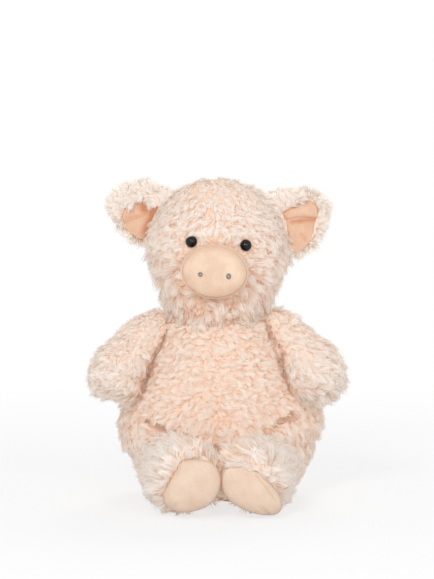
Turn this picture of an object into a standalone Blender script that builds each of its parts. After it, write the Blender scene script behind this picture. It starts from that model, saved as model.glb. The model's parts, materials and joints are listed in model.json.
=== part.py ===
"""Seated plush pig, built as its sewn covers, fillings and fittings.

Metres, +Z up. The pig sits on z = 0 and looks along -Y. The origin is the middle of the flat
seat. Left and right are the pig's own, so its left side is at +X.
"""

from math import acos, asin, cos, hypot, pi, radians, sin, sqrt

import bmesh
import bpy
from mathutils import Matrix, Vector

# Cloth and fits
CLOTH = 0.0020  # thickness of the fur fabric with the lower half of its pile
VELOUR = 0.0015  # thickness of the smooth pile fabric
GAP = 0.0003  # clearance between pieces that touch
FILL_GAP = 0.0006  # clearance between a filling and its cover
SHOULDER_GAP = 0.0010  # clearance of a lifted arm to the head and torso
OVERRUN = 0.004  # how far a cut reaches past what it cuts
WELD = 0.00003  # points closer than this are one

# Torso
TORSO_HALF_WIDTH = 0.084
TORSO_HALF_DEPTH = 0.064
COLLAR_HEIGHT = 0.158  # seat to the neck seam
COLLAR_RADIUS = 0.0434
COLLAR_ASIDE = -0.003  # the neck sits a little to the pig's right

# Bean pouch in the seat
POUCH_RADIUS = 0.042
POUCH_HEIGHT = 0.020

# Head, whose levels are above the neck seam
NECK_BALL_RADIUS = 0.055
NECK_HOLE_RADIUS = 0.030
NECK_BAND = radians(15)  # bare strip of the ball between the collar and the cheeks
HEAD_MIDDLE = 0.0543  # widest level
FACE_FORWARD = 0.003
HEAD_ROLL = radians(4)  # tilt towards the pig's left shoulder
HEAD_YAW = radians(-1)  # turn towards the pig's right

# Snout
SNOUT_HALF_WIDTH = 0.0266
SNOUT_HALF_HEIGHT = 0.0222
SNOUT_REACH = 0.018
SNOUT_LEVEL = 0.0478  # above the neck seam
SNOUT_SEAM_RADIUS = 0.0009
NOSTRIL_RADIUS = 0.0021
NOSTRIL_PROUD = 0.0004
NOSTRIL_SPACING = 0.0245
NOSTRIL_DROP = 0.0028

# Eyes
EYE_RADIUS = 0.0052
EYE_PROUD = 0.0048
EYE_SPACING = 0.047
EYE_ASIDE = 0.0015  # the eyes' middle, to the pig's left of the snout's
EYE_LEVEL = 0.0693  # above the neck seam
SHANK_RADIUS = 0.0015
SHANK_LENGTH = 0.010
WASHER_RADIUS = 0.0050
WASHER_THICKNESS = 0.0012

# Ears
EAR_REACH = 0.049  # root to the outer edge
EAR_HALF_HEIGHT = 0.026
EAR_THICKNESS = 0.011
EAR_DISH = 0.004  # how deep the front is hollowed
EAR_LEVEL = 0.0873  # above the neck seam
EAR_BACK = 0.004
EAR_LEAN = radians(20)  # root line, leaning in at the top

# Arms
ARM_LENGTH = 0.086
ARM_HALF_WIDTH = 0.0250
ARM_HALF_DEPTH = 0.0240
ARM_SPREAD = radians(54)  # at the shoulder, from hanging straight down
HAND_SPREAD = radians(24)
ARM_FORWARD = radians(-36)  # about the X axis, which brings the hands forward

# Legs and feet
LEG_LENGTH = 0.095
LEG_HALF_WIDTH = 0.0285
LEG_HALF_HEIGHT = 0.0305
TOE_IN = radians(9.5)
FOOT_GAP = 0.0012
SEAT_FLAT = 0.0005  # depth cut off where the legs rest on the ground
FOOT_LEANS = {"left": radians(24), "right": radians(12)}
PAD_DOME = 0.007
PAD_SEAM_RADIUS = 0.0009

# Tail
TAIL_ROOT_RADIUS = 0.0050
TAIL_TIP_RADIUS = 0.0034
TAIL_CURL_RADIUS = 0.0090
TAIL_STAND = 0.009  # straight start, before the curl
TAIL_PITCH = 0.014
TAIL_TURN = radians(420)

# Travel of the joints
NECK_NOD = radians(12)
ARM_LIFT = radians(60)
EAR_FLOP = radians(25)
TAIL_FLEX = radians(15)

# Counts
BALL_ROWS = 4
FACE_ROWS = 10
EYE_ROWS = 5
PAD_ROWS = 4
EAR_TRIMS = 5
ARM_TRIMS = 4
SEARCH_STEPS = 20
TORSO_SIDES = 24
HEAD_SIDES = 24
SOCKET_SIDES = 32
LIMB_SIDES = 18
SNOUT_SIDES = 20
EAR_SIDES = 20
ROUND_SIDES = 14
SEAM_SIDES = 6
TAIL_SIDES = 8
TAIL_STEPS = 22
SHARP_ANGLE = radians(40)

# Base colour, then roughness
FINISHES = {
    "cream_fur": ((0.84, 0.66, 0.53), 0.95),
    "peach_velour": ((0.87, 0.62, 0.47), 0.85),
    "polyester_fibre": ((0.93, 0.93, 0.92), 0.95),
    "pouch_cloth": ((0.88, 0.88, 0.86), 0.90),
    "black_gloss_plastic": ((0.010, 0.010, 0.012), 0.08),
    "washer_plastic": ((0.85, 0.85, 0.85), 0.40),
    "thread": ((0.72, 0.50, 0.38), 0.80),
}

SIDES = {"left": 1, "right": -1}
X, Y, Z = Vector((1, 0, 0)), Vector((0, 1, 0)), Vector((0, 0, 1))

# Height, half width, half depth and forward lean of the torso's rings
TORSO_SHARES = (
    (0.00, 0.62, 0.66, 0.00),
    (0.04, 0.75, 0.78, 0.02),
    (0.10, 0.84, 0.86, 0.03),
    (0.18, 0.92, 0.93, 0.04),
    (0.28, 0.98, 0.98, 0.05),
    (0.39, 1.00, 1.00, 0.06),
    (0.51, 0.97, 0.97, 0.06),
    (0.63, 0.88, 0.90, 0.05),
    (0.75, 0.75, 0.81, 0.03),
    (0.87, 0.62, 0.74, 0.01),
)
# Place along the limb, then half width and half depth or height
ARM_SHARES = (
    (-0.10, 0.52, 0.56),
    (0.00, 0.64, 0.68),
    (0.15, 0.82, 0.84),
    (0.32, 0.95, 0.94),
    (0.50, 1.00, 1.00),
    (0.68, 1.00, 1.00),
    (0.82, 0.92, 0.92),
    (0.92, 0.72, 0.73),
    (0.98, 0.40, 0.41),
    (1.00, 0.00, 0.00),
)
LEG_SHARES = (
    (-0.22, 0.90, 0.93),
    (0.00, 0.94, 0.96),
    (0.30, 0.98, 0.99),
    (0.58, 1.00, 1.00),
    (0.78, 0.95, 1.00),
    (0.90, 0.88, 0.96),
    (0.97, 0.81, 0.90),
    (1.00, 0.76, 0.85),
)
# Place along the snout, then half width and half height
SNOUT_SHARES = (
    (-0.55, 0.92, 0.92),
    (0.00, 0.95, 0.95),
    (0.45, 0.99, 0.99),
    (0.74, 1.00, 1.00),
    (0.88, 0.96, 0.95),
    (0.95, 0.86, 0.84),
    (0.985, 0.62, 0.60),
    (1.00, 0.00, 0.00),
)
# Outline of the pig's left ear, outwards and upwards from the middle of its root
EAR_OUTLINE_SHARES = (
    (-0.16, 0.20),
    (-0.10, 0.80),
    (0.24, 0.94),
    (0.62, 0.92),
    (0.92, 0.56),
    (0.96, 0.05),
    (0.80, -0.50),
    (0.58, -0.98),
    (0.36, -1.22),
    (0.10, -0.90),
)
# Size of the ear's rings, then how far each bulges or sinks
EAR_BACK_SHARES = ((1.00, 0.55), (0.94, 0.80), (0.75, 0.95), (0.40, 1.00), (0.00, 1.00))
EAR_FRONT_SHARES = ((0.97, 0.00), (0.86, 0.25), (0.62, 0.80), (0.30, 1.00), (0.00, 1.00))
EAR_LINING_SHARES = ((0.70, 0.617), (0.62, 0.80), (0.30, 1.00), (0.00, 1.00))

ARM_ROOT_SHARES = (0.50, -0.03, 0.943)  # of the torso's half width, half depth and collar height
ARM_PIVOT_SHARES = (1.04, 1.0)  # of the collar's radius and height
HEAD_SHARES = (1.082, 1.0, 1.136)  # half width, half depth and crown, of the neck ball's radius
EAR_OUT_SHARE = 0.8235  # root line from the head's middle plane, of the head's half width
HIP_DEPTH_SHARE = 0.68  # of the torso's half depth
TAIL_LEVEL_SHARE = 0.28  # of the collar's height
# Of the pouch's radius and height
POUCH_SHARES = ((0.00, 0.00), (0.75, 0.00), (1.00, 0.33), (0.75, 0.86), (0.00, 1.00))
EYE_FOOT_SHARE = 0.9  # of the eye's radius, where it meets the cloth


def clear_scene():
    """Removes whatever the new file opened with."""
    for thing in list(bpy.data.objects):
        bpy.data.objects.remove(thing)


def finish(name):
    """One Principled material."""
    colour, roughness = FINISHES[name]
    made = bpy.data.materials.new(name)
    made.use_nodes = True
    shader = made.node_tree.nodes["Principled BSDF"]
    shader.inputs["Base Color"].default_value = (*colour, 1)
    shader.inputs["Roughness"].default_value = roughness
    shader.inputs["Metallic"].default_value = 0
    return made


def add_object(name, mesh, material, parent=None):
    """Links one mesh object, shaded smooth, under its parent empty."""
    made = bpy.data.objects.new(name, mesh)
    bpy.context.scene.collection.objects.link(made)
    mesh.shade_smooth()
    mesh.set_sharp_from_angle(angle=SHARP_ANGLE)
    mesh.materials.append(material)
    made.parent = parent
    return made


def add_pivot(name, place, parent=None):
    """An empty on a joint's axis, which carries what the joint moves."""
    made = bpy.data.objects.new(name, None)
    made.empty_display_size = EYE_RADIUS
    made.parent = parent
    made.matrix_local = place
    bpy.context.scene.collection.objects.link(made)
    return made


def oval(centre, across, along, sides):
    """A closed ring round centre; across and along are its two half axes as vectors."""
    angles = [2 * pi * step / sides for step in range(sides)]
    return [centre + across * cos(a) + along * sin(a) for a in angles]


def loft(rings, close_start=True, close_end=True):
    """Skins a row of rings. A ring of one point is a pole."""
    made = bmesh.new()
    rows = [[made.verts.new(point) for point in ring] for ring in rings]
    for low, high in zip(rows, rows[1:]):
        count = max(len(low), len(high))
        for step in range(count):
            after = (step + 1) % count
            corners = [low[step % len(low)], low[after % len(low)]]
            corners += [high[after % len(high)], high[step % len(high)]]
            made.faces.new(list(dict.fromkeys(corners)))
    if close_start and len(rows[0]) > 1:
        made.faces.new(rows[0][::-1])
    if close_end and len(rows[-1]) > 1:
        made.faces.new(rows[-1])
    bmesh.ops.recalc_face_normals(made, faces=made.faces)
    return made


def tapered(frames, shares, half_sizes, roll=0.0, sides=LIMB_SIDES):
    """Rings of a limb: one oval at each place along it, a pole where a share is zero."""
    rings = []
    for (centre, across, along), (place, width, height) in zip(frames, shares):
        turn = roll * max(place, 0)
        first = (across * cos(turn) + along * sin(turn)) * half_sizes[0] * width
        second = (along * cos(turn) - across * sin(turn)) * half_sizes[1] * height
        rings.append(oval(centre, first, second, sides) if width else [centre])
    return rings


def inset(made, depth):
    """Moves every point in by the same depth, as a filling lies inside its cover."""
    made.normal_update()
    moves = [v.normal * depth * v.calc_shell_factor() for v in made.verts]
    for point, move in zip(made.verts, moves):
        point.co -= move
    return made


def to_mesh(made, name):
    mesh = bpy.data.meshes.new(name)
    made.to_mesh(mesh)
    made.free()
    return mesh


def thicken(piece, thickness):
    """Turns an open skin into cloth, with its thickness on the inside."""
    cloth = piece.modifiers.new("cloth", "SOLIDIFY")
    cloth.thickness = thickness
    cloth.offset = -1
    cloth.use_even_offset = True


def place_cutter(name, mesh, place=None, parent=None):
    """A hidden shape that trims its neighbours, at a place under its parent."""
    cutter = bpy.data.objects.new(name, mesh)
    bpy.context.scene.collection.objects.link(cutter)
    cutter.parent = parent
    cutter.matrix_local = place or Matrix()
    cutter.hide_render = True
    cutter.display_type = "WIRE"
    return cutter


def cut(piece, *cutters):
    for cutter in cutters:
        trim = piece.modifiers.new(cutter.name, "BOOLEAN")
        trim.operation = "DIFFERENCE"
        trim.solver = "EXACT"
        trim.object = cutter


def cut_at_once(piece, name, cutters):
    """One cut by many shapes that overlap each other, such as a neighbour's travel."""
    together = bpy.data.collections.new(name)
    for cutter in cutters:
        together.objects.link(cutter)
    trim = piece.modifiers.new(name, "BOOLEAN")
    trim.operation = "DIFFERENCE"
    trim.solver = "EXACT"
    trim.operand_type = "COLLECTION"
    trim.collection = together


def turned_about(point, axis, angle):
    """The rotation by angle about the line through point."""
    there = Matrix.Translation(point)
    return there @ Matrix.Rotation(angle, 4, axis) @ there.inverted()


def spun(profile, sides):
    """Turns a profile of (radius, height) about +Z; a radius of zero is a pole."""
    rings = [
        oval(Z * height, X * radius, Y * radius, sides) if radius else [Z * height]
        for radius, height in profile
    ]
    return loft(rings)


def closed_tube(path, radius, sides=SEAM_SIDES):
    """A thin tube round a closed path."""
    made = bmesh.new()
    rings = []
    for place, point in enumerate(path):
        ahead = (path[(place + 1) % len(path)] - path[place - 1]).normalized()
        out = (point - sum(path, Vector()) / len(path)).normalized()
        out = (out - ahead * out.dot(ahead)).normalized()
        ring = oval(point, out * radius, ahead.cross(out) * radius, sides)
        rings.append([made.verts.new(corner) for corner in ring])
    for place, low in enumerate(rings):
        high = rings[(place + 1) % len(rings)]
        for step in range(sides):
            after = (step + 1) % sides
            made.faces.new((low[step], low[after], high[after], high[step]))
    bmesh.ops.recalc_face_normals(made, faces=made.faces)
    return made


def between(shares, place):
    """Values of a table of shares at one place, straight between its rows."""
    for low, high in zip(shares, shares[1:]):
        if place <= high[0]:
            part = (place - low[0]) / (high[0] - low[0])
            return [a + (b - a) * part for a, b in zip(low[1:], high[1:])]
    return list(shares[-1][1:])


# Neck


def neck_pivot():
    """Centre of the ball that sits in the collar."""
    rise = sqrt((NECK_BALL_RADIUS + GAP) ** 2 - COLLAR_RADIUS**2)
    return Vector((COLLAR_ASIDE, 0, COLLAR_HEIGHT + rise))


def over_pivot(level):
    """A level above the neck seam as the head's own frame has it, from the neck pivot."""
    return level + COLLAR_HEIGHT - neck_pivot().z


def head_place():
    """The head's tilted and turned frame, on the neck pivot."""
    turn = Matrix.Rotation(HEAD_YAW, 4, "Z") @ Matrix.Rotation(HEAD_ROLL, 4, "Y")
    return Matrix.Translation(neck_pivot()) @ turn


def ball_socket():
    """A faceted ball whose flats, not only its corners, clear the ball that turns in it."""
    rows = SOCKET_SIDES // 2
    radius = (NECK_BALL_RADIUS + GAP) / cos(pi / SOCKET_SIDES) ** 2
    angles = [pi * row / rows - pi / 2 for row in range(1, rows)]
    profile = [(0, -radius)] + [(radius * cos(a), radius * sin(a)) for a in angles]
    return spun(profile + [(0, radius)], SOCKET_SIDES)


# Torso


def torso_rings():
    """Seat to collar, and on into the neck ball, which trims the top."""
    rings = []
    for height, width, depth, forward in TORSO_SHARES:
        centre = Vector((0, -forward * TORSO_HALF_DEPTH, height * COLLAR_HEIGHT))
        half_width, half_depth = X * width * TORSO_HALF_WIDTH, Y * depth * TORSO_HALF_DEPTH
        rings.append(oval(centre, half_width, half_depth, TORSO_SIDES))
    collar = Vector((COLLAR_ASIDE, 0, COLLAR_HEIGHT))
    seam = oval(collar, X * COLLAR_RADIUS, Y * COLLAR_RADIUS, TORSO_SIDES)
    rings.append([(a + b) / 2 for a, b in zip(rings[-1], seam)])
    inside = COLLAR_RADIUS - OVERRUN
    above = oval(collar + Z * OVERRUN, X * inside, Y * inside, TORSO_SIDES)
    return rings + [seam, above]


def build_torso(fur, filling, pouch_cloth):
    """Cover, fibre filling and the pouch of plastic pellets that weighs the seat."""
    socket = ball_socket()
    bmesh.ops.translate(socket, verts=socket.verts, vec=neck_pivot())
    socket = place_cutter("neck_socket", to_mesh(socket, "neck_socket"))

    cover = loft(torso_rings(), close_end=False)
    cover = add_object("torso_cover", to_mesh(cover, "torso_cover"), fur)
    thicken(cover, CLOTH)
    cut(cover, socket)

    floor = CLOTH + GAP
    profile = [(POUCH_RADIUS * r, floor + POUCH_HEIGHT * h) for r, h in POUCH_SHARES]
    pouch = spun(profile, ROUND_SIDES)
    add_object("bean_pouch", to_mesh(pouch, "bean_pouch"), pouch_cloth)
    pocket = to_mesh(inset(spun(profile, ROUND_SIDES), -GAP), "pouch_pocket")
    pocket = place_cutter("pouch_pocket", pocket)

    stuffing = inset(loft(torso_rings()), CLOTH + FILL_GAP)
    stuffing = add_object("torso_stuffing", to_mesh(stuffing, "torso_stuffing"), filling)
    cut(stuffing, socket, pocket)


# Head


def head_sizes():
    """Half width, half depth and the rise from the widest level to the crown."""
    return [share * NECK_BALL_RADIUS for share in HEAD_SHARES]


def cheek_line():
    """Radius and level where the cheeks leave the neck ball."""
    leave = asin(min(COLLAR_RADIUS / NECK_BALL_RADIUS, 1)) + NECK_BAND
    return NECK_BALL_RADIUS * sin(leave), -NECK_BALL_RADIUS * cos(leave)


def cheek_drop():
    """Half height of the oval that swells from the neck ball to the head's widest level."""
    radius, level = cheek_line()
    return (over_pivot(HEAD_MIDDLE) - level) / sqrt(1 - (radius / head_sizes()[0]) ** 2)


def head_point(angle, height):
    """A point of the head's skin at one angle and level, round the neck pivot."""
    half_width, half_depth, crown_rise = head_sizes()
    rise = height - over_pivot(HEAD_MIDDLE)
    share = rise / (crown_rise if rise > 0 else cheek_drop())
    size = sqrt(max(1 - share**2, 0)) if height > cheek_line()[1] else 0
    x = half_width * size * cos(angle)
    y = half_depth * size * sin(angle) - FACE_FORWARD * size
    ball_reach = sqrt(max(NECK_BALL_RADIUS**2 - height**2, 0))
    if hypot(x, y) < ball_reach:
        x, y = ball_reach * cos(angle), ball_reach * sin(angle)
    return Vector((x, y, height))


def head_rings():
    """From the hole in the neck ball to the crown."""
    start = asin(NECK_HOLE_RADIUS / NECK_BALL_RADIUS)
    _, level = cheek_line()
    leave = acos(-level / NECK_BALL_RADIUS)
    angles = [start + (leave - start) * row / BALL_ROWS for row in range(BALL_ROWS + 1)]
    heights = [-NECK_BALL_RADIUS * cos(a) for a in angles]
    middle, crown_rise = over_pivot(HEAD_MIDDLE), head_sizes()[2]
    low = -asin((middle - level) / cheek_drop())
    for row in range(1, FACE_ROWS):
        rise = low + (pi / 2 - low) * row / FACE_ROWS
        heights.append(middle + sin(rise) * (crown_rise if rise > 0 else cheek_drop()))
    turns = [2 * pi * step / HEAD_SIDES for step in range(HEAD_SIDES)]
    rings = [[head_point(turn, height) for turn in turns] for height in heights]
    return rings + [[Vector((0, 0, middle + crown_rise))]]


def face_at(x, height):
    """A point on the front of the head and the way out of it."""

    def depth(x, height):
        turn = -pi / 2
        for _ in range(SEARCH_STEPS):
            point = head_point(turn, height)
            turn += (x - point.x) / max(hypot(point.x, point.y), EYE_RADIUS)
        return head_point(turn, height)

    step = EYE_RADIUS / 4
    point = depth(x, height)
    side = depth(x + step, height) - point
    rise = depth(x, height + step) - point
    return point, side.cross(rise).normalized()


def standing_on(point, outward):
    """The frame at point with its +Z along outward."""
    return Matrix.Translation(point) @ outward.to_track_quat("Z", "Y").to_matrix().to_4x4()


def build_eye(side, head, plastic, washer_plastic):
    """A glossy dome on a shank, held by a washer inside the cover. Returns its cutter."""
    point, outward = face_at(SIDES[side] * EYE_SPACING / 2 + EYE_ASIDE, over_pivot(EYE_LEVEL))
    place = standing_on(point, outward)
    sweep = [pi / 2 * row / EYE_ROWS for row in range(EYE_ROWS)]
    dome = [(EYE_RADIUS * cos(a), GAP + EYE_PROUD * sin(a)) for a in sweep]
    profile = [(0, -SHANK_LENGTH), (SHANK_RADIUS, SHANK_RADIUS - SHANK_LENGTH)]
    profile += [(SHANK_RADIUS, 0), (EYE_RADIUS * EYE_FOOT_SHARE, 0)] + dome + [(0, GAP + EYE_PROUD)]
    eye = spun(profile, ROUND_SIDES)
    eye.transform(place)
    add_object(f"eye_{side}", to_mesh(eye, "eye"), plastic, head)

    back = -CLOTH - GAP
    ring = [(SHANK_RADIUS + GAP, back), (WASHER_RADIUS, back)]
    ring += [(radius, back - WASHER_THICKNESS) for radius, _ in ring[::-1]]
    washer = loft([oval(Z * h, X * r, Y * r, ROUND_SIDES) for r, h in ring + ring[:1]], False, False)
    bmesh.ops.remove_doubles(washer, verts=washer.verts, dist=WELD)
    bmesh.ops.recalc_face_normals(washer, faces=washer.faces)
    washer.transform(place)
    add_object(f"eye_washer_{side}", to_mesh(washer, "washer"), washer_plastic, head)

    hole = SHANK_RADIUS + GAP
    pocket = WASHER_RADIUS + GAP
    deep = back - WASHER_THICKNESS - GAP
    room = [(0, -SHANK_LENGTH - GAP), (hole, -SHANK_LENGTH - GAP), (hole, deep), (pocket, deep)]
    room += [(pocket, back + GAP), (hole, back + GAP), (hole, -GAP), (EYE_RADIUS + GAP, -GAP)]
    room += [(EYE_RADIUS + GAP, EYE_PROUD), (0, EYE_PROUD)]
    seat = spun(room, ROUND_SIDES)
    seat.transform(place)
    return place_cutter(f"eye_seat_{side}", to_mesh(seat, "eye_seat"), parent=head)


def snout_frame():
    """The snout's own frame: +Z out of the face, +Y up."""
    point, _ = face_at(0, over_pivot(SNOUT_LEVEL))
    return Matrix.Translation(point) @ Matrix.Rotation(pi / 2, 4, "X")


def snout_rings():
    frames = [(Z * place * SNOUT_REACH, X, Y) for place, _, _ in SNOUT_SHARES]
    sizes = (SNOUT_HALF_WIDTH, SNOUT_HALF_HEIGHT)
    return tapered(frames, SNOUT_SHARES, sizes, sides=SNOUT_SIDES)


def build_snout(head, guard, velour, filling, thread):
    """Velour cup, its filling, the seam round its rim and two stitched nostrils."""
    place = snout_frame()
    cup = loft(snout_rings())
    cup.transform(place)
    cup = add_object("snout_cover", to_mesh(cup, "snout_cover"), velour, head)
    thicken(cup, VELOUR)

    core = inset(loft(snout_rings()), VELOUR + FILL_GAP)
    core.transform(place)
    core = add_object("snout_stuffing", to_mesh(core, "snout_stuffing"), filling, head)
    face = place_cutter("face_trim", guard, parent=head)
    cut(core, face)

    rim = [row for row in SNOUT_SHARES if row[1] == 1][0][0]
    stand = SNOUT_SEAM_RADIUS + GAP
    path = oval(
        Z * rim * SNOUT_REACH,
        X * (SNOUT_HALF_WIDTH + stand),
        Y * (SNOUT_HALF_HEIGHT + stand),
        SNOUT_SIDES,
    )
    seam = closed_tube(path, SNOUT_SEAM_RADIUS)
    seam.transform(place)
    add_object("snout_seam", to_mesh(seam, "snout_seam"), thread, head)

    seats = []
    for side, way in SIDES.items():
        across, drop = way * NOSTRIL_SPACING / 2, -NOSTRIL_DROP
        out = hypot(across / SNOUT_HALF_WIDTH, drop / SNOUT_HALF_HEIGHT)
        rows = [(width, along) for along, width, _ in SNOUT_SHARES[::-1]]
        level = between(rows, out)[0] * SNOUT_REACH
        spot = place @ Matrix.Translation((across, drop, level))
        bottom = -2 * GAP
        profile = [(0, bottom), (NOSTRIL_RADIUS, bottom)]
        profile += [(NOSTRIL_RADIUS, 0), (NOSTRIL_RADIUS / 2, NOSTRIL_PROUD)]
        dot = spun(profile + [(0, NOSTRIL_PROUD)], ROUND_SIDES // 2)
        dot.transform(spot)
        add_object(f"nostril_{side}", to_mesh(dot, "nostril"), thread, head)
        bottom -= GAP
        wide = NOSTRIL_RADIUS + GAP
        profile = [(0, bottom), (wide, bottom), (wide, OVERRUN), (0, OVERRUN)]
        seat = spun(profile, ROUND_SIDES // 2)
        seat.transform(spot)
        seat = to_mesh(seat, "nostril_seat")
        seats.append(place_cutter(f"nostril_seat_{side}", seat, parent=head))
    cut(cup, face, *seats)


def smooth_outline(shares, width, height, mirror, count):
    """A closed curve through a few hand-placed points, evenly stepped between them."""
    places = [Vector((x * width * mirror, 0, z * height)) for x, z in shares]
    points = []
    for step in range(count):
        at = step * len(places) / count
        first, part = int(at), at % 1
        a, b, c, d = (places[(first + shift) % len(places)] for shift in (-1, 0, 1, 2))
        bend = 2 * b + (c - a) * part + (2 * a - 5 * b + 4 * c - d) * part**2
        points.append((bend + (3 * b - a - 3 * c + d) * part**3) / 2)
    return points


def dished(outline, rows, depth):
    """Rings drawn in from an outline, each moved along Y by its share of a depth."""
    middle = sum(outline, Vector()) / len(outline)
    rings = []
    for size, sink in rows:
        shift = Y * depth * sink
        ring = [middle + (point - middle) * size + shift for point in outline]
        rings.append(ring if size else [middle + shift])
    return rings


def build_ear(side, head, guard, fur, velour):
    """Furry flap and the velour lining in its hollow front, on the root's hinge."""
    way = SIDES[side]
    root = Vector((way * EAR_OUT_SHARE * head_sizes()[0], EAR_BACK, over_pivot(EAR_LEVEL)))
    hinge = Matrix.Rotation(-way * EAR_LEAN, 4, "Y") @ Z
    pivot = add_pivot(f"ear_{side}_pivot", Matrix.Translation(root), head)
    outline = smooth_outline(EAR_OUTLINE_SHARES, EAR_REACH, EAR_HALF_HEIGHT, way, EAR_SIDES)

    half = EAR_THICKNESS / 2
    back = dished(outline, EAR_BACK_SHARES[::-1], half)
    front = dished(outline, EAR_FRONT_SHARES, EAR_DISH)
    front = [[point - Y * half for point in ring] for ring in front]
    flap = add_object(f"ear_{side}", to_mesh(loft(back + front), "ear"), fur, pivot)

    lower = dished(outline, EAR_LINING_SHARES, EAR_DISH)
    lower = [[point - Y * (half + GAP) for point in ring] for ring in lower]
    upper = [[point - Y * VELOUR for point in ring] for ring in lower]
    lining = loft(lower[::-1] + upper)
    lining = add_object(f"ear_lining_{side}", to_mesh(lining, "ear_lining"), velour, pivot)

    turns = [EAR_FLOP * (2 * step / (EAR_TRIMS - 1) - 1) for step in range(EAR_TRIMS)]
    places = [turned_about(root, hinge, turn) for turn in turns]
    trims = [place_cutter(f"ear_{side}_trim", guard, place, head) for place in places]
    for piece in (flap, lining):
        cut_at_once(piece, f"{piece.name}_trims", trims)


def build_head(fur, filling, velour, plastic, washer_plastic, thread):
    """Everything that nods with the head."""
    head = add_pivot("head_pivot", head_place())
    cover = loft(head_rings(), close_start=False)
    cover = add_object("head_cover", to_mesh(cover, "head_cover"), fur, head)
    thicken(cover, CLOTH)
    stuffing = inset(loft(head_rings()), CLOTH + FILL_GAP)
    stuffing = add_object("head_stuffing", to_mesh(stuffing, "head_stuffing"), filling, head)
    guard = to_mesh(inset(loft(head_rings()), -GAP), "head_guard")
    for side in SIDES:
        seat = build_eye(side, head, plastic, washer_plastic)
        cut(cover, seat)
        cut(stuffing, seat)
        build_ear(side, head, guard, fur, velour)
    build_snout(head, guard, velour, filling, thread)


# Limbs


def limb(name, side, rings, pivot, fur, filling, cutters, open_end):
    """A sewn cover and the filling in it, trimmed by what they are sewn to."""
    shift = Matrix.Translation(pivot.location).inverted()
    skin = loft(rings, close_end=not open_end)
    skin.transform(shift)
    cover = add_object(f"{name}_cover_{side}", to_mesh(skin, name), fur, pivot)
    thicken(cover, CLOTH)
    core = inset(loft(rings), CLOTH + FILL_GAP)
    core.transform(shift)
    stuffing = add_object(f"{name}_stuffing_{side}", to_mesh(core, name), filling, pivot)
    for piece in (cover, stuffing):
        cut_at_once(piece, f"{name}_{side}_trims", cutters)
    return cover, stuffing


def shoulder_trims(side, hinge):
    """Torso and head as the arm meets them over its travel and the head's nod."""
    torso = to_mesh(inset(loft(torso_rings()), -GAP), "torso_guard")
    wide_torso = to_mesh(inset(loft(torso_rings()), -SHOULDER_GAP), "shoulder_torso")
    wide_head = to_mesh(inset(loft(head_rings()), -SHOULDER_GAP), "shoulder_head")
    trims = [place_cutter(f"arm_{side}_torso", torso)]
    last = ARM_TRIMS - 1
    for step in range(ARM_TRIMS):
        lift = turned_about(hinge, Y, SIDES[side] * ARM_LIFT * step / last)
        if step:
            trims.append(place_cutter(f"arm_{side}_torso_{step}", wide_torso, lift))
        for nod in (-NECK_NOD, 0, NECK_NOD) if step in (0, last) else (0,):
            place = lift @ turned_about(neck_pivot(), X, nod) @ head_place()
            trims.append(place_cutter(f"arm_{side}_head_{step}", wide_head, place))
    return trims


def build_arm(side, fur, filling):
    """A stubby arm that hangs against the torso and lifts away from it."""
    way = SIDES[side]
    across, back, up = ARM_ROOT_SHARES
    root = Vector((way * across * TORSO_HALF_WIDTH, back * TORSO_HALF_DEPTH, up * COLLAR_HEIGHT))
    frames, centre, reached = [], root, 0
    for place, _, _ in ARM_SHARES:
        spread = ARM_SPREAD + (HAND_SPREAD - ARM_SPREAD) * max(place, 0)
        flat = Matrix.Rotation(ARM_FORWARD, 3, "X") @ Vector((way * sin(spread), 0, -cos(spread)))
        centre = centre + flat * (place - reached) * ARM_LENGTH
        wide = Y.cross(flat).normalized()
        frames.append((centre, wide, flat.cross(wide)))
        reached = place
    rings = tapered(frames, ARM_SHARES, (ARM_HALF_WIDTH, ARM_HALF_DEPTH))

    out, up = ARM_PIVOT_SHARES
    hinge = Vector((way * out * COLLAR_RADIUS + COLLAR_ASIDE, root.y, up * COLLAR_HEIGHT))
    pivot = add_pivot(f"arm_{side}_pivot", Matrix.Translation(hinge))
    limb("arm", side, rings, pivot, fur, filling, shoulder_trims(side, hinge), open_end=False)


def leg_line(side):
    """Hip, and the way the leg points, so that the feet lie side by side."""
    way = SIDES[side]
    inward = LEG_LENGTH * sin(TOE_IN)
    needed = [wide * LEG_HALF_WIDTH - (1 - place) * inward for place, wide, _ in LEG_SHARES[1:]]
    hip_out = max(needed) + FOOT_GAP / 2 + inward
    height = LEG_HALF_HEIGHT - SEAT_FLAT
    hip = Vector((way * hip_out, -HIP_DEPTH_SHARE * TORSO_HALF_DEPTH, height))
    return hip, Vector((-way * sin(TOE_IN), -cos(TOE_IN), 0))


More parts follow.
